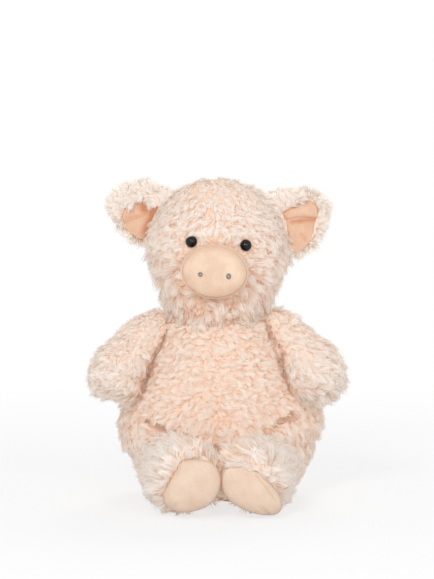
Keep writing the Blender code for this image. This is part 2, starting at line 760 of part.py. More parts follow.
def build_leg(side, torso_guard, ground, fur, filling, velour, thread):
    """Leg, its domed sole pad and the seam between them. It folds up at the belly's crease."""
    way = SIDES[side]
    hip, ahead = leg_line(side)
    wide = Z.cross(ahead) * -1
    frames = [(hip + ahead * place * LEG_LENGTH, wide, Z) for place, _, _ in LEG_SHARES]
    lean = -way * FOOT_LEANS[side]
    rings = tapered(frames, LEG_SHARES, (LEG_HALF_WIDTH, LEG_HALF_HEIGHT), roll=lean)

    crease = Vector((hip.x, -TORSO_HALF_DEPTH, 2 * hip.z))
    pivot = add_pivot(f"leg_{side}_pivot", Matrix.Translation(crease))
    cover, _ = limb("leg", side, rings, pivot, fur, filling, [torso_guard], open_end=True)
    cut(cover, ground)

    sole = frames[-1][0] + ahead * GAP
    _, sole_wide, sole_high = LEG_SHARES[-1]
    first = wide * cos(lean) + Z * sin(lean)
    second = Z * cos(lean) - wide * sin(lean)
    half = Vector((sole_wide * LEG_HALF_WIDTH, sole_high * LEG_HALF_HEIGHT))
    shift = Matrix.Translation(crease).inverted()

    def sole_oval(inside, rise, share=1.0):
        size = (half - Vector((inside, inside))) * share
        return oval(sole + ahead * rise, first * size.x, second * size.y, LIMB_SIDES)

    seam = closed_tube(sole_oval(PAD_SEAM_RADIUS, PAD_SEAM_RADIUS), PAD_SEAM_RADIUS)
    seam.transform(shift)
    add_object(f"foot_seam_{side}", to_mesh(seam, "foot_seam"), thread, pivot)

    inside = 2 * PAD_SEAM_RADIUS + GAP
    sweep = [pi / 2 * row / PAD_ROWS for row in range(PAD_ROWS)]
    dome = [(cos(a), sin(a)) for a in sweep]
    pad = [sole_oval(inside, 0)]
    pad += [sole_oval(inside, VELOUR + PAD_DOME * rise, share) for share, rise in dome]
    pad.append([sole + ahead * (VELOUR + PAD_DOME)])
    pad = loft(pad)
    pad.transform(shift)
    add_object(f"foot_pad_{side}", to_mesh(pad, "foot_pad"), velour, pivot)


# Tail


def build_tail(guard, velour):
    """One curl of stuffed tube, sewn low on the back."""
    level = TAIL_LEVEL_SHARE * COLLAR_HEIGHT
    _, depth, forward = between(TORSO_SHARES, TAIL_LEVEL_SHARE)
    start = Vector((0, (depth - forward) * TORSO_HALF_DEPTH, level))
    pivot = add_pivot("tail_pivot", Matrix.Translation(start))
    path = [Y * -TAIL_ROOT_RADIUS, Y * TAIL_STAND / 2]
    for step in range(TAIL_STEPS + 1):
        turn = TAIL_TURN * step / TAIL_STEPS
        spot = Y * (TAIL_STAND + TAIL_PITCH * turn / (2 * pi))
        path.append(spot + (X * sin(turn) + Z * (cos(turn) - 1)) * TAIL_CURL_RADIUS)
    rings, side = [], X
    for place, point in enumerate(path):
        ahead = (path[min(place + 1, len(path) - 1)] - path[max(place - 1, 0)]).normalized()
        side = (side - ahead * side.dot(ahead)).normalized()
        along = place / (len(path) - 1)
        radius = TAIL_ROOT_RADIUS + (TAIL_TIP_RADIUS - TAIL_ROOT_RADIUS) * along
        rings.append(oval(point, side * radius, side.cross(ahead) * radius, TAIL_SIDES))
    tail = add_object("tail", to_mesh(loft(rings), "tail"), velour, pivot)
    for turn in (-TAIL_FLEX, TAIL_FLEX):
        cut(tail, place_cutter("tail_trim", guard, turned_about(start, X, turn)))


def build():
    """The whole pig, sitting."""
    clear_scene()
    fur, velour, filling, pouch_cloth, plastic, washer_plastic, thread = map(finish, FINISHES)

    build_torso(fur, filling, pouch_cloth)
    build_head(fur, filling, velour, plastic, washer_plastic, thread)
    guard = to_mesh(inset(loft(torso_rings()), -GAP), "torso_guard")
    torso = place_cutter("torso_guard", guard)
    reach = 2 * LEG_LENGTH
    below = [oval(Z * height, X * reach, Y * reach, 4) for height in (-reach, 0)]
    ground = place_cutter("ground", to_mesh(loft(below), "ground"))
    for side in SIDES:
        build_arm(side, fur, filling)
        build_leg(side, torso, ground, fur, filling, velour, thread)
    build_tail(guard, velour)


build()
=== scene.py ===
# %% [markdown]
# # A seated plush pig in Blender
# The real toy is sewn from long fur fabric, with smooth velour on its snout, ears and soles.
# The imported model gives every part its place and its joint. This lesson dresses that frame:
# padded skins, some thousands of tufts of fur, velour pieces, glossy eyes and a small studio.

# %% Load the frame
import json
from math import cos, pi, radians, sin, sqrt

import bmesh
import bpy
import numpy as np
from mathutils import Matrix, Vector, noise
from mathutils.bvhtree import BVHTree


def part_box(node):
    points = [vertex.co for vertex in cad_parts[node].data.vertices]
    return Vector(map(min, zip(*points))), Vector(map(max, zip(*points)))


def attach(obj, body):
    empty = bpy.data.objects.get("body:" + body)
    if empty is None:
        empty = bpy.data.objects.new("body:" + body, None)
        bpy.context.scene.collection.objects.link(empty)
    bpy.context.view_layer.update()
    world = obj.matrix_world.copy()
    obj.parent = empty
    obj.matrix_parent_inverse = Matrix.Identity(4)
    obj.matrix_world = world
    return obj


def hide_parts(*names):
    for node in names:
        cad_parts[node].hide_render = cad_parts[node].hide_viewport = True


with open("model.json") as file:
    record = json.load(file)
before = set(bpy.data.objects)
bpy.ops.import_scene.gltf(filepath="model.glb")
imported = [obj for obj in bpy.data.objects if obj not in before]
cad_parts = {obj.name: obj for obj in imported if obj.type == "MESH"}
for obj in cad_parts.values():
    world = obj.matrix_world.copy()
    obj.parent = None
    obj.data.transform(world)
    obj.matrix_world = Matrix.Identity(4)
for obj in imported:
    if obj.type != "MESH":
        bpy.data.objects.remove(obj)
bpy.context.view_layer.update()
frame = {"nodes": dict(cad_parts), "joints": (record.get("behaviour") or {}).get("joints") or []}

noise.seed_set(11)  # without a seed its vectors would differ from run to run

nodes = frame["nodes"]
joints = {joint["name"]: joint for joint in frame["joints"]}
print("CAD nodes:", len(nodes), "joints:", len(joints))

# %% [markdown]
# ## Shader maths as Python
# A material is a graph of nodes, in which a simple sum takes four lines of code. So a small
# class wraps a socket and lets Python's own operators add the Math nodes. Colours go through
# Vector Math, because a Math node would turn them grey.

# %% Wires and finishes
class Wire:
    """A socket that can stand in a Python expression."""

    def __init__(self, finish, socket):
        self.finish = finish
        self.socket = socket

    def join(self, operation, first, second):
        wide = any(
            isinstance(value, tuple)
            or isinstance(value, Wire)
            and value.socket.type in ("RGBA", "VECTOR")
            for value in (first, second)
        )
        kind = "ShaderNodeVectorMath" if wide else "ShaderNodeMath"
        return self.finish.node(kind, {"operation": operation}, {0: first, 1: second})

    def __add__(self, other):
        return self.join("ADD", self, other)

    def __sub__(self, other):
        return self.join("SUBTRACT", self, other)

    def __mul__(self, other):
        return self.join("MULTIPLY", self, other)

    __radd__ = __add__
    __rmul__ = __mul__


class Finish:
    """One material on a Principled shader, whose even values are set on its own sockets."""

    def __init__(self, name, **sockets):
        self.material = bpy.data.materials.new(name)
        self.material.use_nodes = True
        self.tree = self.material.node_tree
        self.shader = self.tree.nodes["Principled BSDF"]
        for key, value in sockets.items():
            label = key.replace("_", " ").title().replace("Ior", "IOR")
            self.shader.inputs[label].default_value = value

    def node(self, kind, settings=None, inputs=None, output=0):
        """Adds one node: its settings first, then the values or links of its sockets."""
        made = self.tree.nodes.new(kind)
        for key, value in (settings or {}).items():
            if key != "stops":
                setattr(made, key, value)
                continue
            stops = made.color_ramp.elements
            while len(stops) < len(value):
                stops.new(1.0)
            for stop, (place, colour) in zip(stops, value):
                stop.position = place
                stop.color = (*colour, 1)
        for key, value in (inputs or {}).items():
            if isinstance(value, Wire):
                self.tree.links.new(value.socket, made.inputs[key])
            else:
                made.inputs[key].default_value = value
        return Wire(self, made.outputs[output])

    def mix(self, share, first, second):
        """A colour between two colours."""
        pair = [(*c, 1) if isinstance(c, tuple) else c for c in (first, second)]
        inputs = {0: share, 6: pair[0], 7: pair[1]}
        return self.node("ShaderNodeMix", {"data_type": "RGBA"}, inputs, output=2)

    def grain(self, scale, detail=2.0, stretch=(1, 1, 1)):
        """Fractal noise from 0 to 1, fixed to the piece, with scale in waves per metre."""
        place = self.node("ShaderNodeTexCoord", output=3)
        if stretch != (1, 1, 1):
            place = place * stretch
        inputs = {"Vector": place, "Scale": scale, "Detail": detail}
        return self.node("ShaderNodeTexNoise", inputs=inputs)

    def drive(self, key, wire):
        self.tree.links.new(wire.socket, self.shader.inputs[key])

    def let_through(self, share, colour):
        """Mixes in light that comes through from behind, as it does in thin fibres."""
        thin = self.node("ShaderNodeBsdfTranslucent", inputs={"Color": (*colour, 1)})
        own = Wire(self, self.shader.outputs[0])
        both = self.node("ShaderNodeMixShader", inputs={0: share, 1: own, 2: thin})
        self.tree.links.new(both.socket, self.tree.nodes["Material Output"].inputs["Surface"])

    def bump(self, height, distance, strength=1.0):
        inputs = {"Height": height, "Distance": distance, "Strength": strength}
        self.drive("Normal", self.node("ShaderNodeBump", inputs=inputs))


def put_on(piece, finish):
    piece.data.materials.clear()
    piece.data.materials.append(finish.material)
    return piece


# %% [markdown]
# ## Fur colour
# Each lock is deep peach at its root, where little light gets in, and pale cream at its tip.
# Its UV map says so: across is the lock's own tone, and up is the way from root to tip. So
# the colour stays on it when a limb moves. One ramp is for warm locks and one for pale ones.
# Fibres also pass light on many times, more than a render follows. A third ramp adds the rest
# as a faint glow, and some light comes through each fibre.

# %% Fur finish
FUR_MAP = "OFBake"
WARM_STOPS = [
    (0.00, (0.50, 0.30, 0.22)),
    (0.12, (0.80, 0.56, 0.43)),
    (0.40, (0.84, 0.67, 0.56)),
    (0.75, (0.88, 0.77, 0.68)),
    (1.00, (0.91, 0.84, 0.77)),
]
PALE_STOPS = [
    (0.00, (0.56, 0.36, 0.27)),
    (0.12, (0.83, 0.67, 0.58)),
    (0.40, (0.87, 0.79, 0.73)),
    (0.75, (0.91, 0.87, 0.84)),
    (1.00, (0.93, 0.91, 0.89)),
]
GLOW_STOPS = [
    (0.00, (0.060, 0.032, 0.020)),
    (0.12, (0.150, 0.094, 0.062)),
    (0.50, (0.124, 0.090, 0.067)),
    (1.00, (0.098, 0.082, 0.070)),
]
THROUGH, THROUGH_COLOUR = 0.35, (0.90, 0.86, 0.81)  # the light that comes through a fibre
fur = Finish(
    "cream_fur", roughness=0.8, specular_ior_level=0.1, sheen_weight=0.6, emission_strength=1.4,
)
strand = fur.node("ShaderNodeUVMap", {"uv_map": FUR_MAP})
tone = fur.node("ShaderNodeSeparateXYZ", inputs={0: strand}, output=0)
reach = fur.node("ShaderNodeSeparateXYZ", inputs={0: strand}, output=1)
warm = fur.node("ShaderNodeValToRGB", {"stops": WARM_STOPS}, {0: reach})
pale = fur.node("ShaderNodeValToRGB", {"stops": PALE_STOPS}, {0: reach})
fur.drive("Base Color", fur.mix(tone, warm, pale))
fur.drive("Emission Color", fur.node("ShaderNodeValToRGB", {"stops": GLOW_STOPS}, {0: reach}))
fur.let_through(THROUGH, THROUGH_COLOUR)


def backing_finish(name, colours, glows):
    """The woven cloth under the fur: each pair runs from the weave's hollows to its threads."""
    made = Finish(name, roughness=0.9, specular_ior_level=0.1, emission_strength=1.0)
    weave = made.grain(900, 3)
    made.drive("Base Color", made.mix(weave, *colours))
    # A painted glow: the cloth gives off a faint warm light, for the light that the fibres pass on.
    made.drive("Emission Color", made.mix(weave, *glows))
    made.bump(weave, 0.001)
    return made


backing = backing_finish(
    "fur_backing",
    [(0.80, 0.56, 0.43), (0.87, 0.68, 0.56)],
    [(0.10, 0.06, 0.04), (0.13, 0.08, 0.06)],
)
pale_backing = backing_finish(
    "pale_fur_backing",
    [(0.84, 0.66, 0.54), (0.92, 0.80, 0.70)],
    [(0.11, 0.08, 0.06), (0.14, 0.10, 0.08)],
)
print("fur ramps:", len(WARM_STOPS), "and", len(PALE_STOPS), "stops")

# %% [markdown]
# ## Velour, thread and plastic
# Velour is a very short dense pile: nearly matt, with a soft sheen at glancing angles, a fine
# grain and faint cloudy patches where the pile leans another way. The eyes are the one hard
# glossy thing on the toy: black plastic of low roughness, with the faint scuffs of handling.

# %% Other finishes
def velour_finish(name, light, deep, fold):
    """Velour with painted shade: each point's "fold" value, 0 to 1, says how much shade it takes."""
    made = Finish(name, roughness=0.85, specular_ior_level=0.15, sheen_weight=0.35)
    pile = made.grain(1400, 4)
    patches = made.grain(70, 3)
    share = (pile + patches) * 1.6 - 1.1
    shade = made.node("ShaderNodeAttribute", {"attribute_name": "fold"}, output=2)
    made.drive("Base Color", made.mix(shade, made.mix(share, deep, light), fold))
    made.bump(pile, 0.00035, 0.6)
    return made


# Writes each point's painted shade for the velour.
def set_fold_shade(mesh, values):
    mesh.attributes.new("fold", "FLOAT", "POINT").data.foreach_set("value", values)


VELOURS = {  # the pile where it stands and where it leans, and the shade in a fold
    "snout_velour": ((0.84, 0.65, 0.50), (0.68, 0.47, 0.34), (0.66, 0.38, 0.25)),
    "sole_velour": ((0.80, 0.64, 0.51), (0.70, 0.51, 0.39), (0.66, 0.40, 0.26)),
    "ear_velour": ((0.80, 0.57, 0.42), (0.69, 0.44, 0.31), (0.58, 0.24, 0.12)),
}
velour, sole_velour, ear_velour = (velour_finish(name, *look) for name, look in VELOURS.items())

stitch = Finish("grey_thread", roughness=0.6)
stitch_lines = stitch.grain(1500, 2, (1, 1, 4))
stitch.drive("Base Color", stitch.mix(stitch_lines, (0.20, 0.18, 0.165), (0.40, 0.36, 0.33)))
stitch.bump(stitch_lines, 0.0002)

eye_gloss = Finish(
    "black_eye", base_color=(0.002, 0.002, 0.0025, 1), roughness=0.06, specular_ior_level=0.33,
)
scuffs = eye_gloss.grain(400, 4)
eye_gloss.drive("Roughness", scuffs * 0.04 + 0.02)

washer_finish = Finish("washer_plastic", base_color=(0.82, 0.82, 0.80, 1), roughness=0.4)
moulding = washer_finish.grain(1200, 2)
washer_finish.drive("Roughness", moulding * 0.15 + 0.35)
print("velours:", list(VELOURS))

# %% [markdown]
# ## Mesh helpers
# The frame's solids are plain. A voxel remesh turns one into an even net of small quads, some
# rounds of smoothing take its facets out, and its points can be moved along their normals.

# %% Remeshing
def link(name, mesh):
    made = bpy.data.objects.new(name, mesh)
    bpy.context.scene.collection.objects.link(made)
    mesh.shade_smooth()
    return made


def remeshed(node, voxel, rounds):
    piece = link("work", nodes[node].data.copy())
    net = piece.modifiers.new("net", "REMESH")
    net.mode = "VOXEL"
    net.voxel_size = voxel
    ease = piece.modifiers.new("ease", "SMOOTH")
    ease.factor = 0.5
    ease.iterations = rounds
    graph = bpy.context.evaluated_depsgraph_get()
    mesh = bpy.data.meshes.new_from_object(piece.evaluated_get(graph))
    bpy.data.objects.remove(piece)
    return mesh


def points_of(mesh, what="co"):
    flat = np.zeros(len(mesh.vertices) * 3)
    mesh.vertices.foreach_get(what, flat)
    return flat.reshape(-1, 3)


def normals_of(mesh):
    return points_of(mesh, "normal")


def move_points(mesh, points):
    mesh.vertices.foreach_set("co", points.ravel())
    mesh.update()


# %% [markdown]
# ## Padded skins
# Under the fur each part is a stuffed skin. It is remeshed from its filling's solid, or from
# the ear's own, and drawn in a little. The bed of fur brings it back out.

# %% Skins
# voxel in metres, rounds of smoothing, and how far out the skin lies from its solid
SKIN_NET, EAR_NET = (0.003, 8, -0.0012), (0.0014, 4, -0.0022)
SKIN_PARTS = {  # the nodes that each skin stands for
    "torso": ("torso_cover", "torso_stuffing", "bean_pouch"),
    "head": ("head_cover", "head_stuffing"),
}
for limb in ("arm_{}_left", "arm_{}_right", "leg_{}_left", "leg_{}_right"):
    SKIN_PARTS[limb.replace("_{}", "")] = (limb.format("cover"), limb.format("stuffing"))
SKIN_PARTS.update(ear_left=("ear_left",), ear_right=("ear_right",))
skins = {}
for part, stood_for in SKIN_PARTS.items():
    is_ear = part.startswith("ear")
    voxel, rounds, outward = EAR_NET if is_ear else SKIN_NET
    solid = stood_for[0 if is_ear else 1]
    mesh = remeshed(solid, voxel, rounds)
    move_points(mesh, points_of(mesh) + normals_of(mesh) * outward)
    skin = link(part + "_skin", mesh)
    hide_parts(*stood_for)
    put_on(skin, backing if part in ("torso", "head") else pale_backing)
    skins[part] = skin
print("skin points:", {part: len(skin.data.vertices) for part, skin in skins.items()})

# %% [markdown]
# ## Where the tufts stand
# Roots are scattered over a skin by area, and a root that falls too near another is left out.
# That gives an even but unruled spread, as a woven backing with tufts in it has.

# %% Scatter
TRIES, CLOSEST = 5, 0.82  # random points per square, and the least gap, in spacings


def unit(vectors):
    return vectors / np.maximum(np.linalg.norm(vectors, axis=-1, keepdims=True), 1e-9)


def scatter(mesh, spacing, seed):
    """Even random points on a mesh, and its smooth normals there."""
    rng = np.random.default_rng(seed)
    mesh.calc_loop_triangles()
    corners = np.zeros(len(mesh.loop_triangles) * 3, dtype=int)
    mesh.loop_triangles.foreach_get("vertices", corners)
    corners = corners.reshape(-1, 3)
    points, normals = points_of(mesh), normals_of(mesh)
    a, b, c = (points[corners[:, k]] for k in range(3))
    area = np.linalg.norm(np.cross(b - a, c - a), axis=1) / 2
    tries = int(area.sum() / spacing**2 * TRIES)
    pick = rng.choice(len(area), tries, p=area / area.sum())
    u, v = rng.random(tries), rng.random(tries)
    over = u + v > 1
    u[over], v[over] = 1 - u[over], 1 - v[over]
    shares = np.stack([1 - u - v, u, v], axis=1)
    spots = (points[corners[pick]] * shares[:, :, None]).sum(axis=1)
    out = (normals[corners[pick]] * shares[:, :, None]).sum(axis=1)
    kept, cells, least = [], {}, spacing * CLOSEST
    keys = np.floor(spots / least).astype(int)
    for index, (key, spot) in enumerate(zip(map(tuple, keys), spots)):
        near = (
            other
            for dx in (-1, 0, 1)
            for dy in (-1, 0, 1)
            for dz in (-1, 0, 1)
            for other in cells.get((key[0] + dx, key[1] + dy, key[2] + dz), ())
        )
        if all(((spots[other] - spot) ** 2).sum() > least**2 for other in near):
            cells.setdefault(key, []).append(index)
            kept.append(index)
    return spots[kept], unit(out[kept])


def smooth_noise(points, scale, shift):
    """Slow random vectors, the same for neighbours, with scale in waves per metre."""
    return np.array([noise.noise_vector(Vector(p * scale + shift)) for p in points])


# %% [markdown]
# ## One lock of fur
# A lock is a bundle of fine fibres that stand together at the root, lean over and end in a
# blunt feathery tip. Hair curves would be the usual way, but a mesh file does not keep them,
# so each fibre is a narrow ribbon of real mesh. The ribbons of one lock are laid as a roof
# over its axis, because the underside of a lock is never seen. Plush has soft pale shadows,
# so a ribbon's normal lies between the skin's and the lock's own.

# %% Tufts
STEPS = np.array([0.0, 0.5, 1.0])  # places along a fibre
BUNDLE = np.array([0.62, 1.00, 1.02])  # how far the fibres stand apart there
BREADTH = np.array([0.85, 1.00, 0.60])  # how wide a fibre is there
ROOF = radians(75)  # how far round the lock's axis its fibres reach, to each side
SOFT = 0.60  # share of the skin's normal in a fibre's shading
ROOT_DEPTH, TABLE_GAP = 0.0006, 0.0002  # how far in a fibre starts, and how far off the table it is
CREASE_SHADE = 0.96  # how far towards its root's colour a crease takes a fibre
UV_HALF = 0.006  # half a fibre's width in its UV map


def fan(first, second, turns):
    """Turns from the first direction to the second, for each fibre."""
    return first[:, None] * np.cos(turns)[:, :, None] + second[:, None] * np.sin(turns)[:, :, None]


def tuft_mesh(
    name, roots, out, flow, lay, length, radius, tone, deep, light, per, broadest, splay, seed,
):
    """Locks of per fibres at the roots: flow is the way they lean, lay is how far in radians,
    tone runs from warm to pale, deep is a crease's shade, and light is how pale the roots are.
    """
    rng = np.random.default_rng(seed)
    count = len(roots)
    flow = unit(flow - out * (flow * out).sum(1, keepdims=True))
    turn = rng.normal(0, 0.40, count)[:, None]
    flow = flow * np.cos(turn) + np.cross(out, flow) * np.sin(turn)
    aside = np.cross(out, flow)
    lay = np.clip(lay + rng.normal(0, 0.12, count), 0.1, 1.48)[:, None]
    length = length * rng.uniform(0.75, 1.2, count)
    stand = out * np.cos(lay) + flow * np.sin(lay)
    droop = (flow * np.cos(lay) - out * np.sin(lay)) * rng.uniform(0.10, 0.40, count)[:, None]
    curl = aside * rng.normal(0, 0.18, count)[:, None]

    angle = rng.uniform(-ROOF, ROOF, (count, per))
    ring = rng.uniform(0.20, 1.1, (count, per))
    own = rng.uniform(0.76, 1.08, (count, per))
    cant = rng.normal(0, 0.20, (count, per))
    stray = rng.normal(0, splay, (2, count, per, 1))
    stray = aside[:, None] * stray[0] + out[:, None] * np.clip(stray[1], -0.3, 0.3) * 0.6

    rows, shading = [], []
    for step, spread, broad in zip(STEPS, BUNDLE, BREADTH):
        along = (own * step)[:, :, None]
        middle = (stand[:, None] + stray) * along + (droop + curl)[:, None] * along**2
        line = unit(stand + 2 * step * (droop + curl))
        side = unit(np.cross(line, out + 1e-4))
        up = np.cross(side, line)
        radial = fan(up, side, angle)
        edge = fan(side, -up, angle + cant)
        centre = roots[:, None] - out[:, None] * ROOT_DEPTH + middle * length[:, None, None]
        centre = centre + radial * (ring * spread * radius[:, None])[:, :, None]
        half = edge * (broadest * broad / 2)
        rows += [centre - half, centre + half]
        shading += [unit(out[:, None] * SOFT + radial * (1 - SOFT))] * 2
    quads = [(2 * k, 2 * k + 1, 2 * k + 3, 2 * k + 2) for k in range(len(STEPS) - 1)]
    corners, total, level = 2 * len(STEPS), count * per, np.repeat(STEPS, 2)
    points = np.stack(rows, axis=2).reshape(-1, 3)
    shading = np.stack(shading, axis=2).reshape(-1, 3)
    points[:, 2] = np.maximum(points[:, 2], TABLE_GAP)
    pattern = np.array(quads).ravel()
    starts = np.arange(len(quads)) * 4
    loops = (np.arange(total)[:, None] * corners + pattern).ravel()
    faces = (np.arange(total)[:, None] * len(pattern) + starts).ravel()

    mesh = bpy.data.meshes.new(name)
    mesh.vertices.add(len(points))
    mesh.vertices.foreach_set("co", points.ravel())
    mesh.loops.add(len(loops))
    mesh.loops.foreach_set("vertex_index", loops)
    mesh.polygons.add(len(faces))
    mesh.polygons.foreach_set("loop_start", faces)
    mesh.update(calc_edges=True)
    mesh.shade_smooth()
    mesh.normals_split_custom_set_from_vertices(shading)

    shade = np.clip(tone[:, None] + rng.normal(0, 0.28, (count, per)), 0.03, 0.97).reshape(-1, 1)
    side = np.array([-1, 1] * len(STEPS)) * UV_HALF
    light, deep = np.repeat(light, per)[:, None], np.repeat(deep, per)[:, None]
    level = (light + (1 - light) * level) * (1 - CREASE_SHADE * deep)
    place = np.stack(np.broadcast_arrays(shade + side, level), axis=2).reshape(-1, 2)
    mesh.uv_layers.new(name=FUR_MAP).data.foreach_set("uv", place[loops].ravel())
    return put_on(link(name, mesh), fur)


# %% [markdown]
# ## Which way the fur lies
# Fur fabric has a nap. On the face it runs outwards and down from the snout, on the belly
# nearly sideways, on the arms down to the hands, and on the feet away from the soles. A small
# function for each part gives every root its way, lay, length and tone, and where fur grows.

# %% The head's nap
HEAD_TURN = Matrix.Rotation(radians(-1), 4, "Z") @ Matrix.Rotation(radians(4), 4, "Y")
HEAD_FRAME = Matrix.Translation(joints["neck_nod"]["pos_m"]) @ HEAD_TURN
SNOUT_HALF = (0.0295, 0.0238)  # half its width and height


def middle_of(node):
    low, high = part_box(node)
    return np.array((low + high) / 2)


snout_middle = middle_of("snout_cover")
eye_middles = [middle_of("eye_left"), middle_of("eye_right")]


def fade(values, low, high):
    share = np.clip((values - low) / (high - low), 0, 1)
    return share * share * (3 - 2 * share)


def head_bulk(p):
    """The locks of the cheeks and chin are thicker than those of the forehead."""
    return 1.32 - 0.40 * fade(p[:, 2], 0.205, 0.245) + 0.22 * (1 - fade(p[:, 2], 0.175, 0.195))


def head_nap(p, n):
    x, y, z = p.T
    from_snout = (p - snout_middle) * (1, 0, 1)
    oval = np.hypot(from_snout[:, 0] / SNOUT_HALF[0], from_snout[:, 2] / SNOUT_HALF[1])
    front = fade(-y, 0.0, 0.03)
    ruffled = smooth_noise(p, 300, 2.5)[:, 0] * 0.040
    side = np.tanh((x - snout_middle[0] + ruffled) / 0.010)
    high = fade(z, 0.20, 0.245)
    chin = (1 - fade(z, 0.168, 0.186)) * front
    crown = fade(z, 0.250, 0.268) * np.tanh((y - 0.020 + ruffled * 0.5) / 0.008)
    sideways = side * (0.45 + 0.6 * high) * (1 - 0.6 * abs(crown))
    nap = np.stack([sideways, crown, -0.75 - 0.1 * high], axis=1)
    rim = (1 - fade(oval, 1.0, 1.5)) * front
    nap = nap * (1 - rim)[:, None] + unit(from_snout) * rim[:, None] * 1.5
    nap = nap + np.array([0, -0.5, -0.6]) * chin[:, None]
    lay = 1.12 - 0.12 * rim - 0.40 * chin + 0.26 * abs(crown)
    length = 0.0112 - 0.0018 * rim - 0.0024 * high - 0.0034 * chin
    cover = np.maximum(fade(oval, 0.80, 0.92), 1 - front)
    for eye in eye_middles:
        away = (p - eye) * (1, 0, 1)
        gap = np.linalg.norm(away, axis=1)
        near = (1 - fade(gap, 0.006, 0.012)) * front
        nap = nap * (1 - near)[:, None] + unit(away) * near[:, None]
        lay = lay - 0.15 * near
        length = length * (1 - 0.50 * near)
        low = fade(-away[:, 2] / (gap + 1e-9), 0.1, 0.8)
        clear = fade(gap, 0.0034 - 0.0008 * low, 0.0054 - 0.0010 * low)
        cover = cover * np.maximum(clear, 1 - front)
    return nap, lay, length, 0.62 - 0.30 * chin, cover


print("snout middle:", snout_middle.round(4), "eyes:", [eye.round(4) for eye in eye_middles])

# %% [markdown]
# ## Creases
# Where an arm or a thigh presses on the belly, locks look short and dark. A fold of the skin
# would fill with fur, so a crease is a line that shades and shortens the locks.

# %% Creases
CREASES = [  # x and z in mm
    ((-41, 156), (-50, 136), (-61, 117), (-68, 96)),
    ((39, 159), (52, 136), (56, 120), (63, 96)),
    ((-61, 73), (-31, 63), (-19, 58)),
    ((60, 77), (37, 63), (27, 58)),
    ((-19, 58), (5, 49), (27, 58)),
    ((-1, 46), (-1, 4)),
    ((6, 46), (6, 4)),
]


def line_gap(spots, line):
    """How far each spot of the front view, in metres, is from a line of points in mm."""
    gap = np.full(len(spots), 1.0)
    for a, b in zip(np.array(line) / 1000, np.array(line[1:]) / 1000):
        share = np.clip(((spots - a) @ (b - a)) / ((b - a) @ (b - a)), 0, 1)
        gap = np.minimum(gap, np.linalg.norm(spots - a - share[:, None] * (b - a), axis=1))
    return gap


def crease_shade(p):
    """1 in a crease of the front, and 0 a few millimetres away from it."""
    gap = np.min([line_gap(p[:, [0, 2]], line) for line in CREASES], axis=0)
    return (1 - fade(gap, 0.0008, 0.0052)) * fade(-p[:, 1], 0.0, 0.02)


# %% The belly's and the arms' nap
def torso_nap(p, n):
    x, y, z = p.T
    drift = smooth_noise(p * (1, 0, 1), 38, 5.5)[:, 0]
    ruffled = smooth_noise(p, 300, 1.5)[:, 0] * 0.050
    side = np.tanh((x + drift * 0.03 + ruffled) / 0.010)
    front = fade(-y, -0.01, 0.03)
    low = 1 - fade(z, 0.05, 0.09)
    sideways, down = side * front * (1 - 0.5 * low), -0.28 - 0.7 * low - 0.6 * (1 - front)
    nap = np.stack([sideways, np.zeros(len(p)), down], axis=1)
    length = 0.0094 - 0.0016 * front * fade(z, 0.06, 0.10)
    return nap, np.full(len(p), 1.25), length, 0.16 + 0.38 * low, np.ones(len(p))


def arm_nap(side):
    way = 1 if side == "left" else -1
    shoulder = np.array(joints[f"{side}_arm_lift"]["pos_m"])
    hand = np.array([way * 0.086, -0.040, 0.088])
    axis = unit(hand - shoulder)

    def nap(p, n):
        along = ((p - shoulder) @ axis) / np.linalg.norm(hand - shoulder)
        radial = unit(p - shoulder - ((p - shoulder) @ axis)[:, None] * axis)
        tip = fade(along, 0.45, 0.95)[:, None]
        flow = axis * (1.0 - 0.3 * tip) + radial * 0.2 + np.array([way * 0.25, 0, 0])
        length = 0.0088 + 0.0022 * tip[:, 0]
        return flow, 1.20 - 0.25 * tip[:, 0], length, 0.50 + 0.25 * tip[:, 0], np.ones(len(p))

    return nap


# %% [markdown]
# ## Outlines
# Soles and ear linings are cut by a paper pattern. Here it is a short list of points in front
# view, rounded by a spline. Fur stops at it, and the panel is built on it, so the two meet.

# %% Outlines
def rounded(outline, count):
    """A smooth closed line through the outline's points."""
    knots = np.array(outline) / 1000
    size = len(knots)
    spots = np.arange(count) * size / count
    start = spots.astype(int)
    t = (spots - start)[:, None]
    before, here, after, beyond = (knots[(start + k) % size] for k in (-1, 0, 1, 2))
    return (
        2 * here + (after - before) * t
        + (2 * before - 5 * here + 4 * after - beyond) * t**2
        + (3 * here - before - 3 * after + beyond) * t**3
    ) / 2


def in_outline(spots, hull):
    """Whether each spot is inside a closed line, by counting the sides to its right."""
    inside = np.zeros(len(spots), bool)
    for a, b in zip(hull, np.roll(hull, -1, axis=0)):
        crosses = (a[1] > spots[:, 1]) != (b[1] > spots[:, 1])
        level = (spots[:, 1] - a[1]) / ((b[1] - a[1]) or 1e-12)
        inside ^= crosses & (spots[:, 0] < a[0] + level * (b[0] - a[0]))
    return inside


def from_outline(p, outline):
    """Seen from the front: how far each point is outside an outline, and the way out of it."""
    hull, spots = rounded(outline, 90), p[:, [0, 2]]
    gap = np.sqrt(((spots[:, None] - hull[None]) ** 2).sum(2)).min(1)
    away = spots - hull.mean(axis=0)
    away = np.stack([away[:, 0], np.zeros(len(p)), away[:, 1]], axis=1)
    return gap * np.where(in_outline(spots, hull), -1, 1), away


